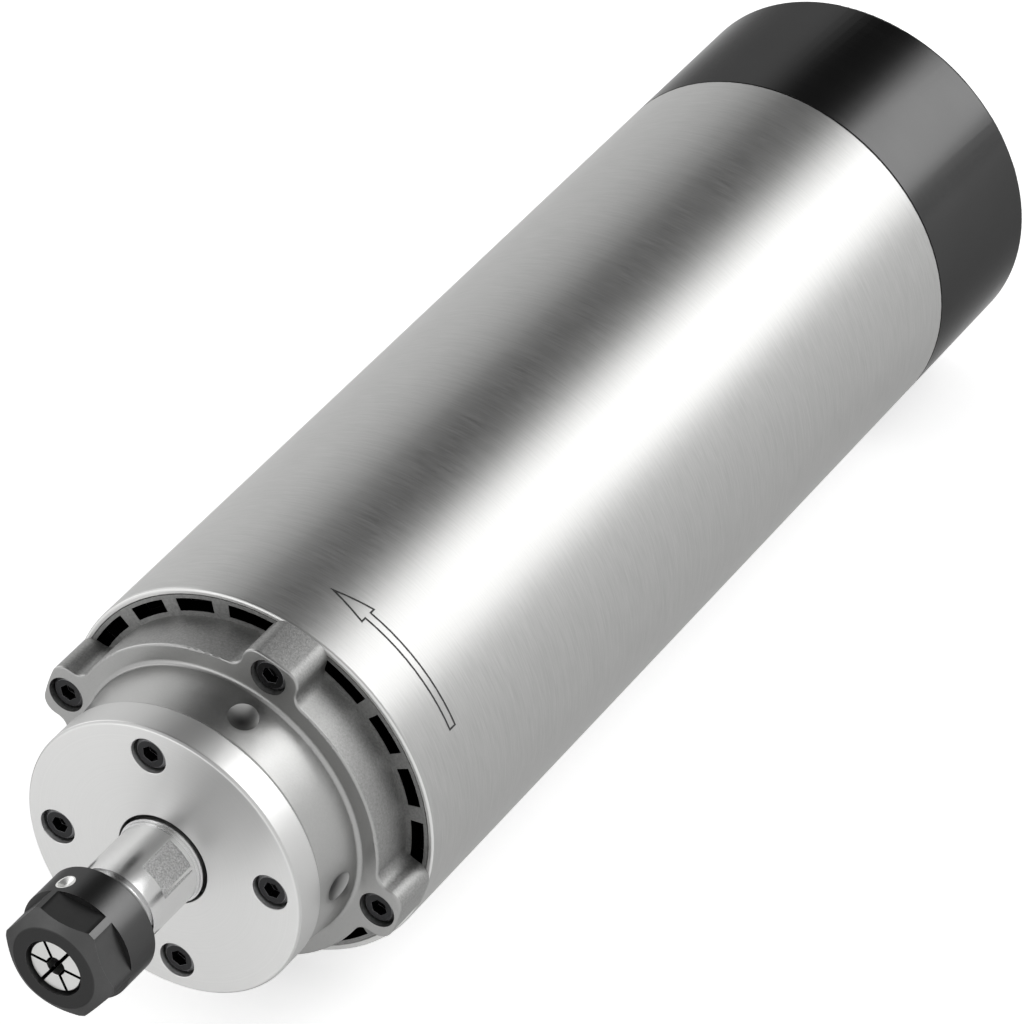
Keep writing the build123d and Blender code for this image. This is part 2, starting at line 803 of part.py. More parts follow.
# Windings: coil sides in the slots, joined by the end turns
end_turn_inner = stator_bore + tooth_tip
end_turn_outer = end_turn_inner + slot_depth + end_turn_overlap
end_turn_round = end_turn_round_share * (end_turn_outer - end_turn_inner)
with BuildPart() as stator_windings:
    end_turns = (
        (core_front - slot_liner - end_turn_length, core_front - slot_liner),
        (core_rear + slot_liner, core_rear + slot_liner + end_turn_length),
    )
    for start, end in end_turns:
        revolve(ring_profile(end_turn_inner, end_turn_outer, start, end), axis=Axis.Y)
    fillet(stator_windings.edges().group_by(Axis.Y)[0], end_turn_round)
    fillet(stator_windings.edges().group_by(Axis.Y)[-1], end_turn_round)
    with BuildSketch(across(core_front - end_turn_overlap)):
        with PolarLocations(0, slot_count):
            add(stator_slot(slot_liner))
    extrude(amount=-(core_length + 2 * end_turn_overlap))
stator_windings.part.label = "stator_windings"
export_step(stator_windings.part, "parts/stator_windings.step")

# Rotor: lamination stack on the shaft, with a cast cage through it
bar_circle = rotor_diameter - 2 * bar_inset
with BuildPart() as rotor_core:
    with BuildSketch(across(core_front)):
        Circle(rotor_radius)
        Circle(rotor_seat_diameter / 2 + press_gap, mode=Mode.SUBTRACT)
        with PolarLocations(bar_circle / 2, bar_count):
            Circle(bar_diameter / 2 + press_gap, mode=Mode.SUBTRACT)
    extrude(amount=-core_length)
rotor_core.part.label = "rotor_core"
export_step(rotor_core.part, "parts/rotor_core.step")

with BuildPart() as rotor_cage:
    for start in (core_front - end_ring_length, core_rear):
        revolve(
            ring_profile(
                rotor_radius - end_ring_wall, rotor_radius, start, start + end_ring_length
            ),
            axis=Axis.Y,
        )
    with BuildSketch(across(core_front)):
        with PolarLocations(bar_circle / 2, bar_count):
            Circle(bar_diameter / 2)
    extrude(amount=-core_length)
rotor_cage.part.label = "rotor_cage"
export_step(rotor_cage.part, "parts/rotor_cage.step")

# Rear bearing housing: hub, flange with air windows, and posts that carry the cover
rear_seat_radius = rear_bearing_radius + press_gap
with BuildPart() as rear_bearing_housing:
    revolve(
        turned_profile(
            (rear_seat_radius, frame_rear),
            (rear_hub_radius, frame_rear),
            (spigot_bore, frame_rear),
            (spigot_bore, frame_rear - spigot_length),
            (spigot_radius, frame_rear - spigot_length),
            (spigot_radius, frame_rear),
            (tube_bore - slip_gap, frame_rear),
            (tube_bore - slip_gap, rear_flange_back),
            (rear_hub_radius, rear_flange_back),
            (rear_hub_radius, rear_hub_back),
            (rear_bearing_radius - rear_stop_wall, rear_hub_back),
            (rear_bearing_radius - rear_stop_wall, rear_stop_face),
            (rear_seat_radius, rear_stop_face),
        ),
        axis=Axis.Y,
    )
    with BuildSketch(across(frame_rear)):
        add(vent_windows())
    extrude(amount=-rear_flange_thickness, mode=Mode.SUBTRACT)
    with BuildSketch(across(rear_flange_back)):
        with PolarLocations(post_circle / 2, lug_count, start_angle=post_angle):
            Circle(post_diameter / 2)
    extrude(amount=rear_flange_back - post_end)
    with BuildSketch(across(post_end)):
        with PolarLocations(post_circle / 2, lug_count, start_angle=post_angle):
            Circle(screw_thread_radius)
    extrude(amount=rear_cover_screw_length, mode=Mode.SUBTRACT)
    with BuildSketch(across(frame_rear)):
        with PolarLocations(rear_housing_screw_circle / 2, lug_count, start_angle=lug_angle):
            Circle(screw_hole_radius)
        with PolarLocations(lead_hole_circle / 2, 1, start_angle=lead_angle):
            Circle(lead_hole_diameter / 2)
    extrude(amount=-rear_flange_thickness, mode=Mode.SUBTRACT)
    with BuildSketch(across(rear_flange_back)):
        with PolarLocations(rear_housing_screw_circle / 2, lug_count, start_angle=lug_angle):
            Circle(screw_head_hole_radius)
    extrude(amount=screw_head_height, mode=Mode.SUBTRACT)
rear_bearing_housing.part.label = "rear_bearing_housing"
export_step(rear_bearing_housing.part, "parts/rear_bearing_housing.step")

rear_housing_screws = socket_screws(
    rear_housing_screw_circle, lug_angle, lug_count,
    rear_flange_back - screw_head_height, rear_housing_screw_length, -1,
)
rear_housing_screws.label = "rear_housing_screws"
export_step(rear_housing_screws, "parts/rear_housing_screws.step")

# Bowed spring washer that preloads the rear bearing
washer_space = rear_stop_face - rear_bearing_back
washer_radius = rear_bearing_radius - washer_gap
washer_bow = washer_space - washer_thickness
with BuildPart() as preload_washer:
    with BuildSketch() as strip:
        with BuildLine():
            outer = ThreePointArc(
                (-washer_radius, rear_bearing_back),
                (0, rear_bearing_back + washer_bow),
                (washer_radius, rear_bearing_back),
            )
            Line(outer @ 1, (washer_radius, rear_bearing_back + washer_thickness))
            ThreePointArc(
                (washer_radius, rear_bearing_back + washer_thickness),
                (0, rear_stop_face),
                (-washer_radius, rear_bearing_back + washer_thickness),
            )
            Line((-washer_radius, rear_bearing_back + washer_thickness), outer @ 0)
        make_face()
    extrude(amount=washer_radius, both=True)
    revolve(
        ring_profile(
            rear_bearing_radius - rear_stop_wall, washer_radius, rear_bearing_back, rear_stop_face
        ),
        axis=Axis.Y,
        mode=Mode.INTERSECT,
    )
preload_washer.part.label = "preload_washer"
export_step(preload_washer.part, "parts/preload_washer.step")

with BuildPart() as shaft_circlip:
    with BuildSketch(across(rear_bearing_back)):
        add(
            ring_sector(
                circlip_groove_diameter / 2 + press_gap, circlip_diameter / 2,
                360 - circlip_opening,
            )
        )
    extrude(amount=-circlip_thickness)
shaft_circlip.part.label = "shaft_circlip"
export_step(shaft_circlip.part, "parts/shaft_circlip.step")

# Cooling fan with pitched blades, trimmed to its diameter
with BuildPart() as cooling_fan:
    fan_bore = fan_seat_diameter / 2 + press_gap
    revolve(ring_profile(fan_bore, fan_hub_diameter / 2, fan_front, fan_back), axis=Axis.Y)
    blade_root = fan_hub_diameter / 2 - fan_blade_thickness
    blade_planes = [
        beside(blade_root, 360 * blade / fan_blade_count, (fan_front + fan_back) / 2)
        for blade in range(fan_blade_count)
    ]
    with BuildSketch(*blade_planes):
        Rectangle(2 * fan_length, fan_blade_thickness, rotation=fan_blade_pitch)
    extrude(amount=fan_radius)
    revolve(
        ring_profile(fan_bore, fan_radius, fan_front, fan_back),
        axis=Axis.Y,
        mode=Mode.INTERSECT,
    )
cooling_fan.part.label = "cooling_fan"
export_step(cooling_fan.part, "parts/cooling_fan.step")

with BuildPart() as fan_washer:
    revolve(
        ring_profile(
            fan_screw_diameter / 2 + slip_gap, fan_washer_diameter / 2,
            fan_back, fan_back + fan_washer_thickness,
        ),
        axis=Axis.Y,
    )
fan_washer.part.label = "fan_washer"
export_step(fan_washer.part, "parts/fan_washer.step")

with BuildPart() as fan_screw:
    fan_screw_seat = fan_back + fan_washer_thickness
    with BuildSketch(across(fan_screw_seat)):
        Circle(fan_screw_head_diameter / 2)
    extrude(amount=-fan_screw_head_height)
    chamfer(fan_screw.edges().group_by(Axis.Y)[-1], screw_head_edge)
    with BuildSketch(across(fan_screw_seat + fan_screw_head_height)):
        RegularPolygon(screw_socket / 2, 6, major_radius=False)
    extrude(amount=screw_socket_depth, mode=Mode.SUBTRACT)
    with BuildSketch(across(fan_screw_seat)):
        Circle(fan_screw_diameter / 2)
    extrude(amount=fan_screw_length)
fan_screw.part.label = "fan_screw"
export_step(fan_screw.part, "parts/fan_screw.step")

# Rear cover: round cap with a spigot in the tube and an air grille in its end
with BuildPart() as rear_cover:
    revolve(
        turned_profile(
            (rear_cover_bore, tube_rear - rear_cover_spigot),
            (tube_bore - slip_gap, tube_rear - rear_cover_spigot),
            (tube_bore - slip_gap, tube_rear),
            (tube_radius, tube_rear),
            (tube_radius, tail_face),
            (connector_thread_diameter / 2 + seat_gap, tail_face),
            (connector_thread_diameter / 2 + seat_gap, tail_wall),
            (rear_cover_bore, tail_wall),
        ),
        axis=Axis.Y,
    )
    tail_rim = rear_cover.edges().group_by(Axis.Y)[-1].sort_by(SortBy.RADIUS)[-1]
    fillet(tail_rim, rear_cover_round)
    with BuildSketch(across(tail_wall)):
        with PolarLocations(post_circle / 2, lug_count, start_angle=post_angle):
            Circle(rear_boss_diameter / 2)
    extrude(amount=rear_boss_height)
    with BuildSketch(across(post_end)):
        with PolarLocations(post_circle / 2, lug_count, start_angle=post_angle):
            Circle(screw_hole_radius)
    extrude(amount=post_end - tail_face, mode=Mode.SUBTRACT)
    with BuildSketch(across(tail_face)):
        with PolarLocations(post_circle / 2, lug_count, start_angle=post_angle):
            Circle(screw_head_hole_radius)
    extrude(amount=screw_head_height + screw_head_gap, mode=Mode.SUBTRACT)
    with BuildSketch(across(tail_face)):
        with PolarLocations((grille_inner_diameter + grille_outer_diameter) / 4, grille_slot_count):
            SlotOverall(
                (grille_outer_diameter - grille_inner_diameter) / 2, grille_slot_width
            )
    extrude(amount=rear_cover_end, mode=Mode.SUBTRACT)
rear_cover.part.label = "rear_cover"
export_step(rear_cover.part, "parts/rear_cover.step")

rear_cover_screws = socket_screws(
    post_circle, post_angle, lug_count,
    tail_face - screw_head_height - screw_head_gap, rear_cover_screw_length, -1,
)
rear_cover_screws.label = "rear_cover_screws"
export_step(rear_cover_screws, "parts/rear_cover_screws.step")

# Power connector in the middle of the tail
connector_radius = connector_thread_diameter / 2
connector_mouth = tail_face + connector_flange_thickness + connector_reach
connector_back = tail_face - connector_inner_reach
insert_face = connector_mouth - connector_insert_depth
with BuildPart() as connector_shell:
    revolve(
        turned_profile(
            (connector_bore / 2, connector_back),
            (connector_radius, connector_back),
            (connector_radius, tail_face),
            (connector_flange_diameter / 2, tail_face),
            (connector_flange_diameter / 2, tail_face + connector_flange_thickness),
            (connector_radius, tail_face + connector_flange_thickness),
            (connector_radius, connector_mouth - connector_edge),
            (connector_radius - connector_edge, connector_mouth),
            (connector_bore / 2, connector_mouth),
        ),
        axis=Axis.Y,
    )
connector_shell.part.label = "connector_shell"
export_step(connector_shell.part, "parts/connector_shell.step")

with BuildPart() as connector_insert:
    with BuildSketch(across(connector_back)):
        Circle(connector_bore / 2 - slip_gap)
        with PolarLocations(pin_circle / 2, pin_count, start_angle=lead_angle):
            Circle(pin_diameter / 2 + slip_gap, mode=Mode.SUBTRACT)
    extrude(amount=connector_back - insert_face)
connector_insert.part.label = "connector_insert"
export_step(connector_insert.part, "parts/connector_insert.step")

with BuildPart() as connector_pins:
    with BuildSketch(across(connector_back - pin_tail)):
        with PolarLocations(pin_circle / 2, pin_count, start_angle=lead_angle):
            Circle(pin_diameter / 2)
    extrude(amount=connector_back - pin_tail - insert_face - pin_reach)
connector_pins.part.label = "connector_pins"
export_step(connector_pins.part, "parts/connector_pins.step")

with BuildPart() as connector_nut:
    with BuildSketch(across(tail_wall)):
        RegularPolygon(connector_nut_across / 2, 6, major_radius=False)
        Circle(connector_radius + slip_gap, mode=Mode.SUBTRACT)
    extrude(amount=connector_nut_thickness)
connector_nut.part.label = "connector_nut"
export_step(connector_nut.part, "parts/connector_nut.step")

# Leads, bound as one round bundle, from the end turns past the fan to a connector pin
lead_start = core_rear + slot_liner + end_turn_length
lead_wall_radius = rear_cover_bore - lead_wall_gap - lead_diameter / 2
lead_tip = pin_circle / 2 + pin_diameter / 2 + seat_gap
lead_corners = (
    (lead_hole_circle / 2, lead_start),
    (lead_hole_circle / 2, rear_flange_back + lead_clear_length),
    (lead_wall_radius, fan_front),
    (lead_wall_radius, connector_back - pin_tail / 2),
    (lead_tip, connector_back - pin_tail / 2),
)
lead_runs = [Vector(*end) - Vector(*start) for start, end in zip(lead_corners, lead_corners[1:])]
lead_bends = [
    lead_bend_share * min(before.length, after.length) / tan(radians(before.get_angle(after) / 2))
    for before, after in zip(lead_runs, lead_runs[1:])
]
print("lead bend radii", [round(bend, 1) for bend in lead_bends])
lead_way = beside(0, lead_angle, 0).z_dir
with BuildPart() as motor_leads:
    with BuildLine(Plane(origin=(0, 0, 0), x_dir=lead_way, z_dir=lead_way.cross(Vector(0, 1, 0)))):
        route = FilletPolyline(*lead_corners, radius=lead_bends)
    with BuildSketch(Plane(origin=route @ 0, z_dir=route % 0)):
        Circle(lead_diameter / 2)
    sweep()
motor_leads.part.label = "motor_leads"
export_step(motor_leads.part, "parts/motor_leads.step")
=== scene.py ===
import json
from math import ceil, cos, pi, radians, sin

import bmesh
import bpy
from mathutils import Matrix, Vector


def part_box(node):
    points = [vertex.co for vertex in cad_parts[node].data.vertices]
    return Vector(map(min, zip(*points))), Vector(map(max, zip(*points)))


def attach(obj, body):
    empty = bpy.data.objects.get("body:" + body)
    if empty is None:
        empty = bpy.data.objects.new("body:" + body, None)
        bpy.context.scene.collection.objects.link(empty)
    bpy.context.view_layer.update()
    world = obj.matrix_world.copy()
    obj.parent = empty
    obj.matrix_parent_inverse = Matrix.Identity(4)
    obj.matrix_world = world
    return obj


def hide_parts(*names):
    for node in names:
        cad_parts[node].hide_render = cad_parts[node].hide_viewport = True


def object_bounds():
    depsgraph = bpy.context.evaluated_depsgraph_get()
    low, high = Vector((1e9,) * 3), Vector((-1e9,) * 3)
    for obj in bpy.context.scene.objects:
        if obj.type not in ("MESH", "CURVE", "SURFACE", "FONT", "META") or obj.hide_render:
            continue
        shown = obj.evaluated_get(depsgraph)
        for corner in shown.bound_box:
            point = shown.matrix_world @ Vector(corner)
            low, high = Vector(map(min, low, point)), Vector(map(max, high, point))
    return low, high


bl_info = {
    "name": "Motor spindle finish",
    "version": (1, 0, 0),
    "blender": (4, 5, 0),
    "location": "3D View > Sidebar > Spindle",
    "description": "Finishes, threads, markings and stage of an air-cooled motor spindle",
    "category": "Object",
}

MM = 0.001
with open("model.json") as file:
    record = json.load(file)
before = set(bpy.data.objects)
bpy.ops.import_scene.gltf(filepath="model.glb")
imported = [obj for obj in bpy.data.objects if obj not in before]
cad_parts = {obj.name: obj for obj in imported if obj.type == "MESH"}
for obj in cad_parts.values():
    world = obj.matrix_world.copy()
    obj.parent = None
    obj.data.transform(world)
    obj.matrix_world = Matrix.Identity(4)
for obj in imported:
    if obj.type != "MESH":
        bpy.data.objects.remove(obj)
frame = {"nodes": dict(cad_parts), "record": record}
cad_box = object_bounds()


def linear(code):
    """Linear RGB of an sRGB hex colour."""
    parts = [int(code[i:i + 2], 16) / 255 for i in (1, 3, 5)]
    return tuple(p / 12.92 if p <= 0.04045 else ((p + 0.055) / 1.055) ** 2.4 for p in parts)


def body_of(node):
    """Name of the body that a CAD node belongs to."""
    for body, members in frame["record"]["behaviour"]["bodies"].items():
        if node in members:
            return body
    raise RuntimeError(f"no body holds {node}")


def slot_of(node):
    """Name of the record's material slot for a CAD node."""
    for row in frame["record"]["subparts"]:
        if row["node"] == node:
            return row["material_slot"]
    raise RuntimeError(f"no material slot is given for {node}")


def add(tree, kind, inputs=None, **settings):
    """Add a node. Each input is a value or the socket that feeds it."""
    made = tree.nodes.new(kind)
    for name, value in settings.items():
        setattr(made, name, value)
    for key, value in (inputs or {}).items():
        if isinstance(value, bpy.types.NodeSocket):
            tree.links.new(value, made.inputs[key])
        else:
            made.inputs[key].default_value = value
    return made


def surface(name, **constants):
    """New material with one shader whose own sockets hold the constants, and its place in millimetres."""
    material = bpy.data.materials.new(name)
    material.use_nodes = True
    tree = material.node_tree
    tree.nodes.clear()
    shader = add(tree, "ShaderNodeBsdfPrincipled", {
        key.replace("_", " ").title().replace("Ior", "IOR"): value for key, value in constants.items()
    })
    add(tree, "ShaderNodeOutputMaterial", {"Surface": shader.outputs[0]})
    place = add(tree, "ShaderNodeTexCoord")
    scaled = add(tree, "ShaderNodeVectorMath", {
        0: place.outputs["Object"], "Scale": 1 / MM,
    }, operation="SCALE")
    return material, tree, shader, scaled.outputs[0]


def grain(tree, place, size, detail=2.0, roughness=0.5):
    """Noise between 0 and 1 whose features are size long, in millimetres along X, Y and Z."""
    stretched = add(
        tree, "ShaderNodeVectorMath", {0: place, 1: tuple(1 / s for s in size)}, operation="MULTIPLY"
    )
    noise = add(tree, "ShaderNodeTexNoise", {
        "Vector": stretched.outputs[0], "Scale": 1.0, "Detail": detail, "Roughness": roughness,
    })
    return noise.outputs["Fac"]


def spread(tree, value, low, high, start=0.3, end=0.7):
    """Map a 0 to 1 pattern onto a range."""
    mapped = add(tree, "ShaderNodeMapRange", {
        "Value": value, "From Min": start, "From Max": end, "To Min": low, "To Max": high,
    })
    return mapped.outputs[0]


def shade(tree, pattern, dark, light, dark_from=None, light_from=None):
    """Colour between two linear colours, or the sockets that give them, by a 0 to 1 pattern."""
    mixed = add(tree, "ShaderNodeMix", {
        "Factor": pattern,
        "A": dark_from or (*dark, 1.0),
        "B": light_from or (*light, 1.0),
    }, data_type="RGBA")
    return mixed.outputs["Result"]


def toned(colour, factor):
    """A colour made darker or lighter."""
    return tuple(min(1.0, part * factor) for part in colour)


def relief(tree, shader, pattern, depth):
    """Bump of a depth in millimetres from a pattern."""
    bump = add(tree, "ShaderNodeBump", {"Height": pattern, "Distance": depth * MM, "Strength": 1.0})
    tree.links.new(bump.outputs[0], shader.inputs["Normal"])


def drive(tree, shader, colour, roughness):
    """Feed a shader's colour and roughness from sockets."""
    tree.links.new(colour, shader.inputs["Base Color"])
    tree.links.new(roughness, shader.inputs["Roughness"])


def from_axis(tree, place):
    """Distance from the spindle's axis in millimetres, and the unit vector away from it."""
    flat = add(tree, "ShaderNodeVectorMath", {0: place, 1: (1.0, 0.0, 1.0)}, operation="MULTIPLY")
    reach = add(tree, "ShaderNodeVectorMath", {0: flat.outputs[0]}, operation="LENGTH")
    way = add(tree, "ShaderNodeVectorMath", {0: flat.outputs[0]}, operation="NORMALIZE")
    return reach.outputs["Value"], way.outputs[0]


def world_way(tree, way):
    """Direction on the piece as a direction in the world, so that the grain turns with the piece."""
    turned = add(
        tree, "ShaderNodeVectorTransform", {0: way},
        vector_type="VECTOR", convert_from="OBJECT", convert_to="WORLD",
    )
    return turned.outputs[0]


def stretch_along_axis(tree, shader):
    """Turn the shader's stretched reflections along the spindle's axis, as lines that run round it do."""
    along = add(tree, "ShaderNodeCombineXYZ", {"Y": 1.0})
    tree.links.new(world_way(tree, along.outputs[0]), shader.inputs["Tangent"])


def plain_finish(name, colour, tones, wear, skin, clouds=None, depth=0.0, **constants):
    """Material whose colour runs between two tones of it, and its roughness between the two ends of its wear.

    Skin and clouds are each the size, detail and roughness of a noise. The skin drives the wear, and the
    relief by its depth in millimetres. The clouds drive the tones, and without clouds the skin does.
    """
    material, tree, shader, place = surface(name, **constants)
    fine = grain(tree, place, *skin)
    broad = grain(tree, place, *clouds) if clouds else fine
    low, high = (toned(colour, tone) for tone in tones)
    drive(tree, shader, shade(tree, broad, low, high), spread(tree, fine, *wear))
    if depth:
        relief(tree, shader, fine, depth)
    return material


# Places on the pieces that a finish follows, in millimetres. A setback is how far a place lies in front
# of another.
TUBE_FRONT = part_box("motor_tube")[0].y / MM
LUG_HEIGHT = 8.2
LUG_FACE = TUBE_FRONT - LUG_HEIGHT
WINDOW_DEPTH = 3.0
WINDOW_MIDDLE = TUBE_FRONT + WINDOW_DEPTH / 2
COVER_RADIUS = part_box("front_bearing_cover")[1].x / MM
DIMPLE_RADIUS = 24.07
DIMPLE_SETBACK = 5.0
DIMPLE_STATION = LUG_FACE - DIMPLE_SETBACK
DIMPLE_ANGLES = (65.6, -12.0)
DIMPLES = tuple(
    (DIMPLE_RADIUS * cos(radians(turn)), DIMPLE_STATION, DIMPLE_RADIUS * sin(radians(turn)))
    for turn in DIMPLE_ANGLES
)
NOSE_RADIUS = 7.0
FLATS_LENGTH = 7.3
FLATS_SETBACK = 29.55
FLATS_MIDDLE = TUBE_FRONT - FLATS_SETBACK
NUT_FRONT, NUT_REAR = (corner.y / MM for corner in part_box("collet_nut"))
NUT_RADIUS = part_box("collet_nut")[1].x / MM
MARK_ANGLE = radians(104.0)
MARK_RADIUS = 1.55
MARK_REACH = 9.4
MARK_SETBACK = 4.4
MARK_STATION = NUT_REAR - MARK_SETBACK
MARK_PLACE = (MARK_REACH * cos(MARK_ANGLE), MARK_STATION, MARK_REACH * sin(MARK_ANGLE))
SHEET_THICKNESS = 0.5
STRAND_WIDTH = 0.8

# Where one finish, painted shade or painted highlight goes over into the next, from and to, in millimetres
# along the axis, away from it or away from the middle of a dimple
# Band of the painted highlight on the tube's front end
EDGE_HIGHLIGHT_BAND = (TUBE_FRONT + 0.15, TUBE_FRONT + 0.25)
BLASTED_EDGE = (LUG_FACE + 0.2, LUG_FACE + 0.5)
# Fade of the painted shade in the dimples
DIMPLE_SHADE_FADE = (0.8, 3.0)
# Band of the painted shade on the cover's rim and side
COVER_RIM_SHADE = (COVER_RADIUS - 0.4, COVER_RADIUS - 0.2)
NUT_SKIRT = (NUT_RADIUS - 0.3, NUT_RADIUS - 0.05)
NUT_RING = (NUT_FRONT + 0.05, NUT_FRONT + 0.15)
# Margin of the painted shade inside the air windows
WINDOW_SHADE_MARGIN = 0.1
FLATS_MARGIN = 0.02

# Colours of small areas within a finish
# Painted shade on the walls inside the air windows
WINDOW_SHADE_COLOUR = linear("#0A0A0A")
BARE_STEEL = linear("#E2E2E0")

# Cleaning of the CAD meshes: distances in metres, and the angles in degrees up to which faces shade as
# one. Fine is for pieces whose flats meet a round wall at only 22 degrees.
MERGE_DISTANCE = 2e-6
SLIVER_LENGTH = 1e-6
SMOOTH_ANGLE = 28.0
FINE_SMOOTH_ANGLE = 18.0
BEVEL_ANGLE = 35.0

# Screw threads, in millimetres: their crests, how far they run behind the nut and start off the cap, and
# how far off the crest and the ends a vertex of the core may lie. The steps are those of one turn.
THREAD_DEPTH_SHARE = 0.61
NOSE_CREST = 6.9
NOSE_THREAD_BEHIND = 3.0
PLUG_CREST = 8.0
PLUG_THREAD_START = 2.0
HELIX_STEPS = 72
THREAD_SLACK = 0.02
THREAD_END_SLACK = 0.05

# The arrow on the tube: its station and widths in millimetres, and its angles in degrees from +X towards
# +Z. The ink stands proud by its height and reaches into the wall by its depth, so that it has no gap
# under it.
ARROW_STATION = -69.8
ARROW_TIP = 68.8
ARROW_NECK = 57.3
ARROW_TAIL = 19.5
ARROW_HEAD_WIDTH = 3.4
ARROW_SHAFT_WIDTH = 1.45
INK_HEIGHT = 0.02
INK_DEPTH = 0.05

# How far the slanted faces of a screw head point along the axis: these carry the bright wear and a painted
# highlight
HEAD_SLOPE = (0.5, 0.9)
# Tone of the screws' worn steel, which also carries their painted highlight
SCREW_WEAR_AND_HIGHLIGHT_TONE = 3.0
# The walls of the collet's slits point neither along the axis nor away from it, and carry painted shade
SLIT_ALONG = 0.1
SLIT_OUTWARD = 0.5
SLIT_SHADE_TONE = 0.02

# Bevel of each node as a share of the edge break. The others keep their edges as they are.
EDGES = {
    "motor_tube": 1.5,
    "front_bearing_cover": 1.0,
    "front_housing_screws": 1.2,
    "front_cover_screws": 1.2,
    "rear_housing_screws": 1.2,
    "rear_cover_screws": 1.2,
    "fan_screw": 1.2,
    "spindle_shaft": 0.5,
    "collet": 0.5,
    "collet_nut": 1.0,
    "rear_cover": 0.8,
    "connector_shell": 0.5,
    "connector_insert": 0.5,
    "connector_pins": 0.5,
    "connector_nut": 0.5,
    "motor_leads": 0.5,
}

# Stage: the camera fitted to the photograph, its place in millimetres, and its axes as rows
CAMERA_LENS = 231.59
CAMERA_SENSOR = 36.0
CAMERA_CLIP = (0.01, 50.0)
CAMERA_SPOT = (489.43, -719.65, 584.15)
CAMERA_AXES = (
    (0.85266, 0.5159, -0.0821),
    (-0.23209, 0.5149, 0.82504),
    (0.46801, -0.6846, 0.55872),
)
# Name, spot and size in metres, and power in watts
LAMPS = (
    ("key_softbox", (0.757, 0.959, 0.682), (0.82, 0.93), 7.7),
    ("front_softbox", (-0.5, -1.3, 0.6), (1.0, 0.8), 2.5),
    ("left_softbox", (-1.3, 0.2, 0.5), (0.9, 1.2), 3.4),
)

# Dark flag overhead: its angle from +X towards +Z, its even part and its soft edge
FLAG_ANGLE = radians(97.0)
FLAG_CORE = radians(11.0)
FLAG_EDGE = radians(39.0)

WHITE = (1.0, 1.0, 1.0, 1.0)
PAPER = (0.8, 0.8, 0.8, 1.0)
# Strengths of light: the flag in reflections, the walls on matt surfaces, and the floor's own glow,
# straight into the camera and in reflections
FLAG_LEVEL = 0.08
FILL_LEVEL = 0.55
FLOOR_GLOW = 0.6
FLOOR_MIRRORED = 0.35
# Gap between the floor and the lowest point of the spindle, in millimetres
FLOOR_GAP = 0.2


# Brushed stainless tube: an abrasive belt ran round its girth, so short fine lines go round it
# and every reflection is drawn out into a long soft band along it.
# The real lines are about 0.05 mm wide. They are drawn 0.25 mm wide, so that they show.
# A painted highlight makes the colour brighter on the tube's front end and its edge, for the bright line
# along that edge.
def brushed_stainless(colour):
    material, tree, shader, place = surface(
        "brushed_stainless_steel", metallic=1.0, anisotropic=0.35, specular_tint=(0.85, 0.85, 0.85, 1.0))
    lines = grain(tree, place, (5.0, 0.25, 5.0), 4.0, 0.65)
    clouds = grain(tree, place, (35.0, 60.0, 35.0), 2.0)
    station = add(tree, "ShaderNodeSeparateXYZ", {0: place})
    # Painted highlight: the front end and edge of the tube are drawn brighter
    painted_edge_highlight = spread(tree, station.outputs["Y"], 1.0, 0.0, *EDGE_HIGHLIGHT_BAND)
    brushed = shade(tree, spread(tree, lines, 0.0, 1.0), toned(colour, 0.9), toned(colour, 1.1))
    worn = add(tree, "ShaderNodeMath", {
        0: spread(tree, lines, 0.37, 0.46), 1: spread(tree, clouds, -0.015, 0.015),
    })
    drive(tree, shader, shade(tree, painted_edge_highlight, None, toned(colour, 1.8), brushed), worn.outputs[0])
    stretch_along_axis(tree, shader)
    relief(tree, shader, lines, 0.006)
    return material


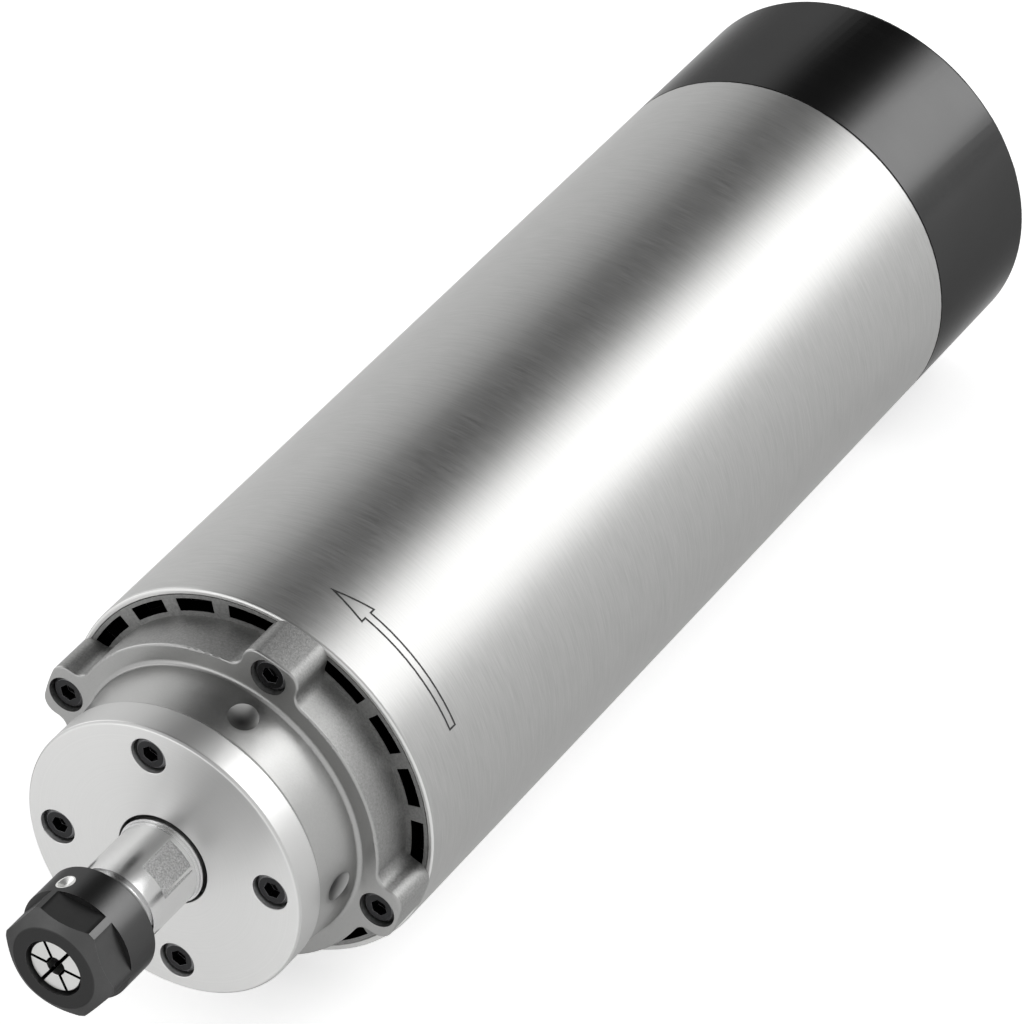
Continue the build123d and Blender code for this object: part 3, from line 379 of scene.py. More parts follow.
# Cast aluminium, blasted after casting: a fine even grain that scatters light softly and glitters a little.
# The blasted pits are about 0.15 mm wide. They are drawn 0.4 mm wide, so that they show.
# The boss and the front of the lugs are turned smooth. The walls inside the air windows are painted near
# black, and the boss's two dimples darker towards their middles, as painted shade.
def blasted_aluminium(colour):
    material, tree, shader, place = surface(
        "blasted_cast_aluminium", metallic=1.0, specular_tint=(0.75, 0.75, 0.75, 1.0))
    skin = grain(tree, place, (0.4, 0.4, 0.4), 3.0, 0.75)
    clouds = grain(tree, place, (9.0, 9.0, 9.0), 2.0)
    station = add(tree, "ShaderNodeSeparateXYZ", {0: place})
    # Painted shade: the walls inside the air windows are drawn near black
    window_shade_mask = add(tree, "ShaderNodeMath", {
        0: station.outputs["Y"], 1: WINDOW_MIDDLE, 2: WINDOW_DEPTH / 2 - WINDOW_SHADE_MARGIN,
    }, operation="COMPARE")
    blasted = spread(tree, station.outputs["Y"], 0.0, 1.0, *BLASTED_EDGE)
    smooth = shade(tree, skin, toned(colour, 0.95), toned(colour, 1.15))
    pitted = shade(tree, spread(tree, skin, 0.0, 1.0), toned(colour, 0.66), toned(colour, 1.0))
    bright = shade(tree, blasted, None, None, smooth, pitted)
    # Painted shade: the two dimples are drawn darker towards their middles
    dimple_shades = []
    for dimple in DIMPLES:
        away = add(tree, "ShaderNodeVectorMath", {0: place, 1: dimple}, operation="DISTANCE")
        dimple_shades.append(spread(tree, away.outputs["Value"], 1.0, 0.0, *DIMPLE_SHADE_FADE))
    dimple_shade = add(tree, "ShaderNodeMath", {0: dimple_shades[0], 1: dimple_shades[1]}, operation="MAXIMUM").outputs[0]
    bright = shade(tree, dimple_shade, None, toned(colour, 0.16), bright)
    rough = add(tree, "ShaderNodeMix", {
        "Factor": blasted, "A": spread(tree, skin, 0.33, 0.38), "B": spread(tree, skin, 0.46, 0.56),
    })
    uneven = add(tree, "ShaderNodeMath", {0: rough.outputs["Result"], 1: spread(tree, clouds, -0.03, 0.03)})
    worn = add(tree, "ShaderNodeMath", {0: dimple_shade, 1: 0.2, 2: uneven.outputs[0]}, operation="MULTIPLY_ADD")
    drive(tree, shader, shade(tree, window_shade_mask.outputs[0], None, WINDOW_SHADE_COLOUR, bright), worn.outputs[0])
    pits = add(tree, "ShaderNodeMath", {
        0: skin, 1: spread(tree, blasted, 0.2, 1.0, 0.0, 1.0),
    }, operation="MULTIPLY")
    relief(tree, shader, pits.outputs[0], 0.045)
    return material


# Turned aluminium: the lathe leaves very fine rings round the axis, so the face is nearly even,
# with a soft sheen that fans out from its middle. Its rim and side carry painted shade, a darker colour that
# dims the lamp's reflection there.
# The real rings are 0.08 mm apart. They are drawn 0.3 mm apart, so that they show.
def turned_aluminium(colour):
    material, tree, shader, place = surface(
        "turned_aluminium", metallic=1.0, anisotropic=0.12, specular_tint=(0.7, 0.7, 0.7, 1.0))
    reach, way = from_axis(tree, place)
    rings = add(tree, "ShaderNodeTexNoise", {"W": reach, "Scale": 3.3, "Detail": 2.0}, noise_dimensions="1D")
    pattern = rings.outputs["Fac"]
    face = shade(tree, pattern, toned(colour, 0.97), toned(colour, 1.03))
    # Painted shade: the cover's rim and side are drawn darker
    painted_rim_shade = spread(tree, reach, 0.0, 1.0, *COVER_RIM_SHADE)
    drive(tree, shader, shade(tree, painted_rim_shade, None, toned(colour, 0.72), face), spread(tree, pattern, 0.4, 0.44))
    tree.links.new(world_way(tree, way), shader.inputs["Tangent"])
    relief(tree, shader, pattern, 0.0012)
    return material


# Ground and polished steel: grinding lines run round the shaft and are almost too fine to see,
# while the milled spanner flats keep coarser cutter marks.
def ground_steel(colour):
    material, tree, shader, place = surface("ground_steel", metallic=1.0, anisotropic=0.3)
    lines = grain(tree, place, (9.0, 0.15, 9.0), 2.0)
    marks = grain(tree, place, (0.22, 0.22, 0.22), 3.0, 0.7)
    reach, _ = from_axis(tree, place)
    station = add(tree, "ShaderNodeSeparateXYZ", {0: place})
    along_flats = add(tree, "ShaderNodeMath", {
        0: station.outputs["Y"], 1: FLATS_MIDDLE, 2: FLATS_LENGTH / 2,
    }, operation="COMPARE")
    inside = add(tree, "ShaderNodeMath", {0: reach, 1: NOSE_RADIUS - FLATS_MARGIN}, operation="LESS_THAN")
    flats = add(tree, "ShaderNodeMath", {
        0: along_flats.outputs[0], 1: inside.outputs[0],
    }, operation="MULTIPLY")
    ground = shade(tree, lines, toned(colour, 0.95), toned(colour, 1.05))
    milled = shade(tree, spread(tree, marks, 0.0, 1.0, 0.35, 0.65), toned(colour, 0.4), toned(colour, 1.0))
    rough = add(tree, "ShaderNodeMix", {
        "Factor": flats.outputs[0], "A": spread(tree, lines, 0.2, 0.25), "B": spread(tree, marks, 0.34, 0.5),
    })
    drive(tree, shader, shade(tree, flats.outputs[0], None, None, ground, milled), rough.outputs["Result"])
    stretch_along_axis(tree, shader)
    pits = add(tree, "ShaderNodeMath", {0: marks, 1: flats.outputs[0]}, operation="MULTIPLY")
    relief(tree, shader, pits.outputs[0], 0.06)
    return material


# Cut thread: the flanks are a little rougher than the ground shaft, and drawn at 0.35 to 0.5 of its colour.
def cut_thread(colour):
    return plain_finish(
        "cut_thread_steel", colour, tones=(0.35, 0.5), wear=(0.29, 0.36),
        skin=((4.0, 0.15, 4.0), 2.0), depth=0.003, metallic=1.0)


# Spring steel, hardened and ground: bright and fairly sharp in its reflections, with fine grinding lines.
def collet_steel(colour):
    return plain_finish(
        "ground_spring_steel", colour, tones=(0.9, 1.06), wear=(0.28, 0.34),
        skin=((6.0, 0.1, 6.0), 2.0), depth=0.004, metallic=1.0)


# Black oxide on turned steel: a thin dark skin, so the steel's own sheen still shows through it.
def black_oxide(colour):
    return plain_finish(
        "black_oxide_steel", colour, tones=(0.88, 1.12), wear=(0.32, 0.4),
        skin=((0.25, 0.25, 0.25), 3.0, 0.6), clouds=((3.0, 3.0, 3.0), 2.0), depth=0.004, metallic=1.0)


# Blackened nut: the same dark skin, drilled through to bright steel at the balancing mark.
# Its round skirt is turned fine, its hexagon and cone are milled duller, its front ring is darkest.
def blackened_nut(colour):
    material, tree, shader, place = surface(
        "blackened_nut_steel", metallic=1.0, specular_tint=(0.5, 0.5, 0.5, 1.0))
    skin = grain(tree, place, (0.25, 0.25, 0.25), 3.0, 0.6)
    clouds = grain(tree, place, (3.0, 3.0, 3.0), 2.0)
    away = add(tree, "ShaderNodeVectorMath", {0: place, 1: MARK_PLACE}, operation="DISTANCE")
    drilled = add(tree, "ShaderNodeMath", {0: away.outputs["Value"], 1: MARK_RADIUS}, operation="LESS_THAN")
    reach, _ = from_axis(tree, place)
    station = add(tree, "ShaderNodeSeparateXYZ", {0: place})
    skirt = spread(tree, reach, 0.0, 1.0, *NUT_SKIRT)
    ring = spread(tree, station.outputs["Y"], 1.0, 0.0, *NUT_RING)
    cone = shade(tree, clouds, toned(colour, 1.0), toned(colour, 1.2))
    black = shade(tree, ring, None, toned(colour, 0.6), cone)
    black = shade(tree, skirt, None, toned(colour, 0.9), black)
    worn = add(tree, "ShaderNodeMix", {
        "Factor": skirt, "A": spread(tree, skin, 0.42, 0.5), "B": spread(tree, skin, 0.28, 0.33),
    })
    rough = add(tree, "ShaderNodeMix", {"Factor": drilled.outputs[0], "A": worn.outputs["Result"], "B": 0.4})
    drive(tree, shader, shade(tree, drilled.outputs[0], None, BARE_STEEL, black), rough.outputs["Result"])
    relief(tree, shader, skin, 0.004)
    return material


# Steel where the black skin has worn off along the edges of the nut and the screws: brighter,
# with a fine uneven wear. The same brightness is also a painted highlight along those edges.
def rubbed_steel(colour):
    return plain_finish(
        "rubbed_steel", colour, tones=(1.6, 3.2), wear=(0.3, 0.4),
        skin=((0.5, 0.5, 0.5), 3.0), metallic=1.0)


# Black anodised aluminium: the dyed oxide skin is nearly black and keeps a little of the metal's shine.
def black_anodised(colour):
    return plain_finish(
        "black_anodised_aluminium", colour, tones=(0.92, 1.08), wear=(0.2, 0.24),
        skin=((9.0, 0.3, 9.0), 3.0, 0.5), clouds=((14.0, 14.0, 14.0), 2.0), depth=0.002,
        metallic=1.0, specular_tint=(0.5, 0.5, 0.5, 1.0))


# Extruded aluminium, dipped in black varnish together with the winding: dull and dark,
# with the faint lines of the die along it. Its near-black colour also paints the shade seen through the
# housing's air windows.
def varnished_extrusion(colour):
    return plain_finish(
        "varnished_extrusion", colour, tones=(0.7, 1.3), wear=(0.5, 0.65),
        skin=((0.4, 60.0, 0.4), 2.0), depth=0.01, ior=1.52, specular_ior_level=0.3)


# Electrical steel sheets in a stack: their 0.5 mm edges show as dark and light lines round the stack.
def stacked_sheet(colour):
    material, tree, shader, place = surface("electrical_steel_stack", metallic=1.0)
    station = add(tree, "ShaderNodeSeparateXYZ", {0: place})
    sheets = add(tree, "ShaderNodeMath", {
        0: station.outputs["Y"], 1: 2 * pi / SHEET_THICKNESS,
    }, operation="MULTIPLY")
    edges = add(tree, "ShaderNodeMath", {0: sheets.outputs[0]}, operation="SINE")
    lines = spread(tree, edges.outputs[0], 0.0, 1.0, -1.0, 1.0)
    rust = grain(tree, place, (4.0, 4.0, 4.0), 3.0)
    striped = shade(tree, lines, toned(colour, 0.55), toned(colour, 1.15))
    drive(tree, shader, striped, spread(tree, rust, 0.38, 0.55))
    relief(tree, shader, lines, 0.05)
    return material


# Varnished copper wire, wound tightly: round 0.8 mm strands under a clear brown varnish.
def wound_copper(colour):
    material, tree, shader, place = surface(
        "varnished_copper_wire", metallic=1.0, coat_weight=0.5, coat_roughness=0.15)
    reach, _ = from_axis(tree, place)
    flat = add(tree, "ShaderNodeSeparateXYZ", {0: place})
    across = add(tree, "ShaderNodeMath", {
        0: flat.outputs["Y"], 1: 2 * pi / STRAND_WIDTH,
    }, operation="MULTIPLY")
    out = add(tree, "ShaderNodeMath", {0: reach, 1: 2 * pi / STRAND_WIDTH}, operation="MULTIPLY")
    wave_a = add(tree, "ShaderNodeMath", {0: across.outputs[0]}, operation="SINE")
    wave_b = add(tree, "ShaderNodeMath", {0: out.outputs[0]}, operation="SINE")
    both = add(tree, "ShaderNodeMath", {0: wave_a.outputs[0], 1: wave_b.outputs[0]}, operation="ADD")
    strands = spread(tree, both.outputs[0], 0.0, 1.0, -1.6, 1.6)
    varnished = shade(tree, strands, toned(colour, 0.45), toned(colour, 1.2))
    drive(tree, shader, varnished, spread(tree, strands, 0.4, 0.25, 0.0, 1.0))
    relief(tree, shader, strands, 0.25)
    return material


# Polished bearing steel: hard, bright and sharp in its reflections.
def bearing_steel(colour):
    return plain_finish(
        "polished_bearing_steel", colour, tones=(0.92, 1.05), wear=(0.1, 0.17),
        skin=((8.0, 0.15, 8.0), 2.0), metallic=1.0)


# Machined brass: warm yellow, with fine tool lines.
def machined_brass(colour):
    return plain_finish(
        "machined_brass", colour, tones=(0.82, 1.1), wear=(0.28, 0.36),
        skin=((5.0, 0.2, 5.0), 2.0), depth=0.006, metallic=1.0)


# Cast rotor aluminium: dull, with shallow marks of the mould.
def cast_rotor_aluminium(colour):
    return plain_finish(
        "cast_rotor_aluminium", colour, tones=(0.8, 1.08), wear=(0.4, 0.55),
        skin=((0.9, 0.9, 0.9), 3.0), depth=0.04, metallic=1.0)


# Dull nickel plate over brass: smooth, faintly warm and a little cloudy.
def nickel_plate(colour):
    return plain_finish(
        "dull_nickel_plate", colour, tones=(0.9, 1.05), wear=(0.18, 0.25),
        skin=((2.5, 2.5, 2.5), 2.0), depth=0.004, metallic=1.0)


# Moulded nylon, black: a fine spark-eroded mould texture breaks up its sheen.
def moulded_nylon(colour):
    return plain_finish(
        "moulded_black_nylon", colour, tones=(0.85, 1.2), wear=(0.42, 0.56),
        skin=((0.25, 0.25, 0.25), 3.0, 0.6), clouds=((6.0, 6.0, 6.0), 2.0), depth=0.01, ior=1.53)


# Silicone coated glass sleeve round the leads: a dull red tube with a fine braid under its skin.
def silicone_sleeve(colour):
    return plain_finish(
        "silicone_glass_sleeve", colour, tones=(0.8, 1.15), wear=(0.45, 0.6),
        skin=((0.4, 0.8, 0.4), 1.0), depth=0.03, ior=1.41)


# Etching ink on the tube: matt black, worn a little thin where it lies on the brushed lines.
def etched_ink(colour):
    return plain_finish(
        "black_marking_ink", colour, tones=(0.8, 1.6), wear=(0.5, 0.65),
        skin=((45.0, 0.3, 45.0), 3.0, 0.65), ior=1.5)


MATERIALS = {
    "brushed_tube": (brushed_stainless, "tube"),
    "cast_housing": (blasted_aluminium, "casting"),
    "turned_cover": (turned_aluminium, "cover"),
    "extruded_frame": (varnished_extrusion, "varnish"),
    "black_screws": (black_oxide, "screws"),
    "laminations": (stacked_sheet, "laminations"),
    "copper_windings": (wound_copper, "copper"),
    "cast_rotor_cage": (cast_rotor_aluminium, "casting"),
    "black_cover": (black_anodised, "cap"),
    "plated_connector": (nickel_plate, "nickel"),
    "connector_plastic": (moulded_nylon, "plastic"),
    "contact_brass": (machined_brass, "brass"),
    "lead_insulation": (silicone_sleeve, "sleeve"),
    "ground_shaft": (ground_steel, "shaft"),
    "collet_steel": (collet_steel, "collet"),
    "black_nut": (blackened_nut, "nut"),
    "bearing_steel": (bearing_steel, "bearings"),
    "fan_plastic": (moulded_nylon, "plastic"),
    "cage_brass": (machined_brass, "brass"),
}
made_materials = {}  # by slot


def material_for(slot):
    """Material of a slot, made when it is first asked for."""
    if slot not in made_materials:
        maker, colour = MATERIALS[slot]
        made_materials[slot] = maker(tuple(getattr(bpy.context.scene.spindle_colours, colour)))
    return made_materials[slot]


def finish_piece(obj, slot, body):
    """Give a piece its material and its body."""
    obj.data.materials.clear()
    obj.data.materials.append(material_for(slot))
    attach(obj, body)
    return obj


def edge_softener(obj, width):
    """Fine bevel along the sharp edges, and normals that keep the flat faces flat."""
    if width:
        bevel = obj.modifiers.new("fine_edge", "BEVEL")
        bevel.width = width
        bevel.segments = 2
        bevel.limit_method = "ANGLE"
        bevel.angle_limit = radians(BEVEL_ANGLE)
        bevel.use_clamp_overlap = True
    even = obj.modifiers.new("even_normals", "WEIGHTED_NORMAL")
    even.keep_sharp = True
    even.weight = 50


def dress(node, reshape=None, smooth_angle=SMOOTH_ANGLE):
    """Replace a CAD node by a merged copy of its mesh, with the bevel that EDGES gives it."""
    source = frame["nodes"][node].data
    form = bmesh.new()
    form.from_mesh(source)
    bmesh.ops.remove_doubles(form, verts=form.verts, dist=MERGE_DISTANCE)
    bmesh.ops.dissolve_degenerate(form, edges=form.edges, dist=SLIVER_LENGTH)
    if reshape is not None:
        reshape(form)
    for face in form.faces:
        face.smooth = True
    for line in form.edges:
        line.smooth = len(line.link_faces) == 2 and line.calc_face_angle(0.0) < radians(smooth_angle)
    mesh = bpy.data.meshes.new(f"dressed_{node}")
    form.to_mesh(mesh)
    form.free()
    piece = bpy.data.objects.new(f"dressed_{node}", mesh)
    bpy.context.scene.collection.objects.link(piece)
    edge_softener(piece, EDGES.get(node, 0.0) * bpy.context.scene.spindle_sizes.edge)
    finish_piece(piece, slot_of(node), body_of(node))
    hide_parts(node)
    return piece


def colour_setting(name, description, code):
    """Colour property that starts at an sRGB hex colour."""
    return bpy.props.FloatVectorProperty(
        name=name, description=description, subtype="COLOR", size=3, min=0.0, max=1.0, default=linear(code))


def length_setting(name, description, low, high, default):
    """Length property in metres."""
    return bpy.props.FloatProperty(
        name=name, description=description, subtype="DISTANCE", unit="LENGTH",
        min=low, max=high, default=default)


class SpindleColours(bpy.types.PropertyGroup):
    """Colours of the finishes."""
    tube: colour_setting("Tube", "Brushed stainless tube", "#ADADAC")
    casting: colour_setting("Casting", "Blasted cast aluminium", "#A4A4A3")
    cover: colour_setting("Front cover", "Turned aluminium cover", "#E4E4E3")
    screws: colour_setting("Screws", "Black oxide screws", "#343435")
    nut: colour_setting("Collet nut", "Blackened nut", "#525252")
    shaft: colour_setting("Shaft", "Ground steel shaft", "#DADADA")
    collet: colour_setting("Collet", "Ground spring steel", "#DADAD8")
    cap: colour_setting("Rear cover", "Black anodised aluminium", "#464646")
    bearings: colour_setting("Bearings", "Polished bearing steel", "#C9C9CC")
    brass: colour_setting("Brass", "Bearing cages and contact pins", "#D8B56A")
    nickel: colour_setting("Connector", "Dull nickel plate", "#C8C5BE")
    plastic: colour_setting("Plastic", "Fan and connector insert", "#1C1C1D")
    copper: colour_setting("Windings", "Varnished copper", "#B8672F")
    laminations: colour_setting("Laminations", "Electrical steel sheets", "#8B8C90")
    sleeve: colour_setting("Leads", "Silicone sleeve on the leads", "#8E2A24")
    # Near black also as painted shade seen through the air windows
    varnish: colour_setting("Stator frame", "Black dipping varnish", "#0C0C0C")
    ink: colour_setting("Marking", "Ink of the rotation arrow", "#161616")


class SpindleSizes(bpy.types.PropertyGroup):
    """Sizes that the finish adds to the frame."""
    edge: length_setting("Edge break", "Width of the fine bevels on sharp edges", 0.0, 0.0005, 0.0001)
    nose_pitch: length_setting(
        "Nose thread pitch", "Pitch of the thread that the collet nut runs on", 0.0005, 0.002, 0.00075)
    plug_pitch: length_setting(
        "Connector thread pitch", "Pitch of the thread round the power connector", 0.0005, 0.002, 0.001)
    arrow_line: length_setting("Arrow line", "Width of the rotation arrow's outline", 0.0001, 0.001, 0.0003)
    floor: length_setting("Floor", "Side of the floor", 1.0, 20.0, 8.0)


def thread_tree():
    """Geometry Nodes tree of a screw thread: a ridge of V section that runs along a helix on the Y axis."""
    tree = bpy.data.node_groups.new("screw_thread", "GeometryNodeTree")
    face = tree.interface
    face.new_socket("Geometry", in_out="OUTPUT", socket_type="NodeSocketGeometry")
    for name in ("Crest radius", "Depth", "Pitch", "Start", "Length"):
        face.new_socket(name, in_out="INPUT", socket_type="NodeSocketFloat")
    face.new_socket("Material", in_out="INPUT", socket_type="NodeSocketMaterial")
    given = add(tree, "NodeGroupInput").outputs
    root = add(tree, "ShaderNodeMath", {0: given["Crest radius"], 1: given["Depth"]}, operation="SUBTRACT")
    turns = add(tree, "ShaderNodeMath", {0: given["Length"], 1: given["Pitch"]}, operation="DIVIDE")
    width = add(tree, "ShaderNodeMath", {0: given["Depth"], 1: 2.0}, operation="MULTIPLY")
    flank = add(tree, "ShaderNodeMath", {0: given["Pitch"], 1: 2.0}, operation="DIVIDE")
    helix = add(tree, "GeometryNodeCurveSpiral", {
        "Resolution": HELIX_STEPS, "Rotations": turns.outputs[0], "Start Radius": root.outputs[0],
        "End Radius": root.outputs[0], "Height": given["Length"], "Reverse": True,
    })
    upright = add(tree, "GeometryNodeSetCurveNormal", {"Curve": helix.outputs[0]}, mode="Z_UP")
    ridge = add(tree, "GeometryNodeCurvePrimitiveQuadrilateral", {
        "Width": width.outputs[0], "Bottom Height": flank.outputs[0], "Top Height": flank.outputs[0],
    }, mode="KITE")
    solid = add(tree, "GeometryNodeCurveToMesh", {
        "Curve": upright.outputs[0], "Profile Curve": ridge.outputs[0], "Fill Caps": True,
    })
    offset = add(tree, "ShaderNodeCombineXYZ", {"Y": given["Start"]})
    placed = add(tree, "GeometryNodeTransform", {
        "Geometry": solid.outputs[0], "Translation": offset.outputs[0], "Rotation": (-pi / 2, 0.0, 0.0),
    })
    real = add(tree, "GeometryNodeRealizeInstances", {"Geometry": placed.outputs[0]})
    painted = add(tree, "GeometryNodeSetMaterial", {
        "Geometry": real.outputs[0], "Material": given["Material"],
    })
    add(tree, "NodeGroupOutput", {"Geometry": painted.outputs[0]})
    return tree


def screw_thread(name, node, slot, crest, pitch, start, end):
    """Thread on a CAD node between two stations, given in millimetres, with its core drawn in to the root."""
    depth = THREAD_DEPTH_SHARE * pitch
    dress(node, draw_in(crest, crest - depth, start, end), FINE_SMOOTH_ANGLE)
    ridge = grown(
        name, thread_tree(), Crest_radius=crest * MM, Depth=depth * MM, Pitch=pitch * MM,
        Start=(start + pitch / 2) * MM, Length=(end - start - pitch) * MM, Material=material_for(slot),
    )
    turned_out = bmesh.new()
    turned_out.from_mesh(ridge.data)
    bmesh.ops.recalc_face_normals(turned_out, faces=turned_out.faces)
    turned_out.to_mesh(ridge.data)
    turned_out.free()
    return finish_piece(ridge, slot, body_of(node))


def grown(name, tree, **inputs):
    """Plain mesh object that a Geometry Nodes tree makes from its named inputs."""
    seed = bpy.data.objects.new(f"{name}_seed", bpy.data.meshes.new(f"{name}_seed"))
    bpy.context.scene.collection.objects.link(seed)
    maker = seed.modifiers.new("maker", "NODES")
    maker.node_group = tree
    keys = {item.name: item.identifier for item in tree.interface.items_tree if item.item_type == "SOCKET"}
    for label, value in inputs.items():
        maker[keys[label.replace("_", " ")]] = value
    bpy.context.view_layer.update()
    depsgraph = bpy.context.evaluated_depsgraph_get()
    mesh = bpy.data.meshes.new_from_object(seed.evaluated_get(depsgraph))
    mesh.name = name
    seed.modifiers.remove(maker)
    bpy.data.objects.remove(seed)
    if not mesh.polygons:
        raise RuntimeError(f"{name} came out empty")
    piece = bpy.data.objects.new(name, mesh)
    bpy.context.scene.collection.objects.link(piece)
    return piece


class SPINDLE_OT_stage(bpy.types.Operator):
    """Floor, soft light and the camera at the photograph's angle"""
    bl_idname = "spindle.stage"
    bl_label = "Stage and camera"

    def execute(self, context):
        scene = context.scene
        scene.view_settings.view_transform = "Standard"
        lowest = cad_box[0][2] - FLOOR_GAP * MM
        side = scene.spindle_sizes.floor / 2
        mesh = bpy.data.meshes.new("floor")
        mesh.from_pydata(
            [(-side, -side, lowest), (side, -side, lowest), (side, side, lowest), (-side, side, lowest)],
            [], [(0, 1, 2, 3)],
        )
        floor = bpy.data.objects.new("floor", mesh)
        scene.collection.objects.link(floor)
        mesh.materials.append(pale_floor())
        white_world(scene)
        for name, spot, size, power in LAMPS:
            lamp = bpy.data.lights.new(name, "AREA")
            lamp.shape = "RECTANGLE"
            lamp.size, lamp.size_y = size
            lamp.energy = power
            holder = bpy.data.objects.new(name, lamp)
            holder.matrix_world = aimed(Vector(spot), Vector((0.0, 0.0, 0.0)))
            scene.collection.objects.link(holder)
        eye = bpy.data.cameras.new("camera")
        eye.lens = CAMERA_LENS
        eye.sensor_width = CAMERA_SENSOR
        eye.sensor_fit = "HORIZONTAL"
        eye.clip_start, eye.clip_end = CAMERA_CLIP
        camera = bpy.data.objects.new("camera", eye)
        right, up, back = (Vector(row).normalized() for row in CAMERA_AXES)
        turn = Matrix((right, up, back)).transposed().to_4x4()
        camera.matrix_world = Matrix.Translation(Vector(CAMERA_SPOT) * MM) @ turn
        scene.collection.objects.link(camera)
        scene.camera = camera
        return {"FINISHED"}


def aimed(spot, target):
    """Matrix of a lamp at a spot that looks at a target."""
    back = (spot - target).normalized()
    right = Vector((0.0, 0.0, 1.0)).cross(back).normalized()
    return Matrix.Translation(spot) @ Matrix((right, back.cross(right), back)).transposed().to_4x4()


# Matt white paper sweep: its own shadow stays, and the rest is as white as the backdrop.
def pale_floor():
    material = bpy.data.materials.new("white_paper")
    material.use_nodes = True
    tree = material.node_tree
    tree.nodes.clear()
    rays = add(tree, "ShaderNodeLightPath")
    mirrored = add(tree, "ShaderNodeMath", {
        0: rays.outputs["Is Glossy Ray"], 1: rays.outputs["Is Transmission Ray"],
    }, operation="MAXIMUM")
    level = add(tree, "ShaderNodeMath", {0: mirrored.outputs[0], 1: FLOOR_MIRRORED}, operation="MULTIPLY")
    strength = add(tree, "ShaderNodeMath", {
        0: rays.outputs["Is Camera Ray"], 1: FLOOR_GLOW, 2: level.outputs[0],
    }, operation="MULTIPLY_ADD")
    paper = add(tree, "ShaderNodeBsdfDiffuse", {"Color": PAPER})
    glow = add(tree, "ShaderNodeEmission", {"Color": WHITE, "Strength": strength.outputs[0]})
    total = add(tree, "ShaderNodeAddShader", {0: paper.outputs[0], 1: glow.outputs[0]})
    add(tree, "ShaderNodeOutputMaterial", {"Surface": total.outputs[0]})
    return material


def white_world(scene):
    """White studio walls, with a dark flag overhead that runs along the spindle."""
    world = bpy.data.worlds.new("studio")
    world.use_nodes = True
    tree = world.node_tree
    tree.nodes.clear()
    way = add(tree, "ShaderNodeTexCoord")
    parts = add(tree, "ShaderNodeSeparateXYZ", {0: way.outputs["Generated"]})
    turn = add(tree, "ShaderNodeMath", {0: parts.outputs["Z"], 1: parts.outputs["X"]}, operation="ARCTAN2")
    off = add(tree, "ShaderNodeMath", {0: turn.outputs[0], 1: FLAG_ANGLE}, operation="SUBTRACT")
    side = add(tree, "ShaderNodeMath", {0: off.outputs[0]}, operation="ABSOLUTE")
    flag = add(tree, "ShaderNodeMapRange", {
        "Value": side.outputs[0], "From Min": FLAG_CORE, "From Max": FLAG_EDGE,
        "To Min": FLAG_LEVEL, "To Max": 1.0,
    }, interpolation_type="SMOOTHSTEP")
    rays = add(tree, "ShaderNodeLightPath")
    mirrored = add(tree, "ShaderNodeMath", {
        0: rays.outputs["Is Glossy Ray"], 1: rays.outputs["Is Transmission Ray"],
    }, operation="MAXIMUM")
    fill = add(tree, "ShaderNodeMix", {"Factor": mirrored.outputs[0], "A": FILL_LEVEL, "B": flag.outputs[0]})
    level = add(tree, "ShaderNodeMix", {
        "Factor": rays.outputs["Is Camera Ray"], "A": fill.outputs["Result"], "B": 1.0,
    })
    light = add(tree, "ShaderNodeBackground", {"Color": WHITE, "Strength": level.outputs["Result"]})
    add(tree, "ShaderNodeOutputWorld", {"Surface": light.outputs[0]})
    scene.world = world


def arrow_corners(radius):
    """Corners of the arrow's outline on the unrolled tube, as arc length and station in millimetres."""
    tip, neck, tail = (radians(angle) * radius for angle in (ARROW_TIP, ARROW_NECK, ARROW_TAIL))
    head, shaft = ARROW_HEAD_WIDTH / 2, ARROW_SHAFT_WIDTH / 2
    corners = (
        (tip, 0.0), (neck, head), (neck, shaft), (tail, shaft), (tail, -shaft), (neck, -shaft), (neck, -head),
    )
    return [Vector((arc, ARROW_STATION + side)) for arc, side in corners]


def ink_line(name, corners, radius, width):
    """Closed line of ink on the tube, with mitred corners and a skin that follows the round wall."""
    form = bmesh.new()
    rings = []
    for before, corner, after in zip(corners[-1:] + corners, corners, corners[1:] + corners[:1]):
        first, second = (corner - before).normalized(), (after - corner).normalized()
        out = Vector((first.y, -first.x)) + Vector((second.y, -second.x))
        mitre = out / (1 + first.dot(second)) * width / 2
        next_out = Vector((second.y, -second.x)) * width / 2
        steps = max(1, ceil(abs(after.x - corner.x)))
        for step in range(steps):
            spot = corner.lerp(after, step / steps)
            side = mitre if step == 0 else next_out
            ring = []
            for flat, reach in (
                (spot + side, radius + INK_HEIGHT), (spot - side, radius + INK_HEIGHT),
                (spot - side, radius - INK_DEPTH), (spot + side, radius - INK_DEPTH),
            ):
                turn = flat.x / radius
                ring.append(form.verts.new((reach * cos(turn) * MM, flat.y * MM, reach * sin(turn) * MM)))
            rings.append(ring)
    for ring, following in zip(rings, rings[1:] + rings[:1]):
        for k in range(4):
            form.faces.new((ring[k], ring[k - 1], following[k - 1], following[k]))
    bmesh.ops.recalc_face_normals(form, faces=form.faces)
    mesh = bpy.data.meshes.new(name)
    form.to_mesh(mesh)
    form.free()
    piece = bpy.data.objects.new(name, mesh)
    bpy.context.scene.collection.objects.link(piece)
    return piece


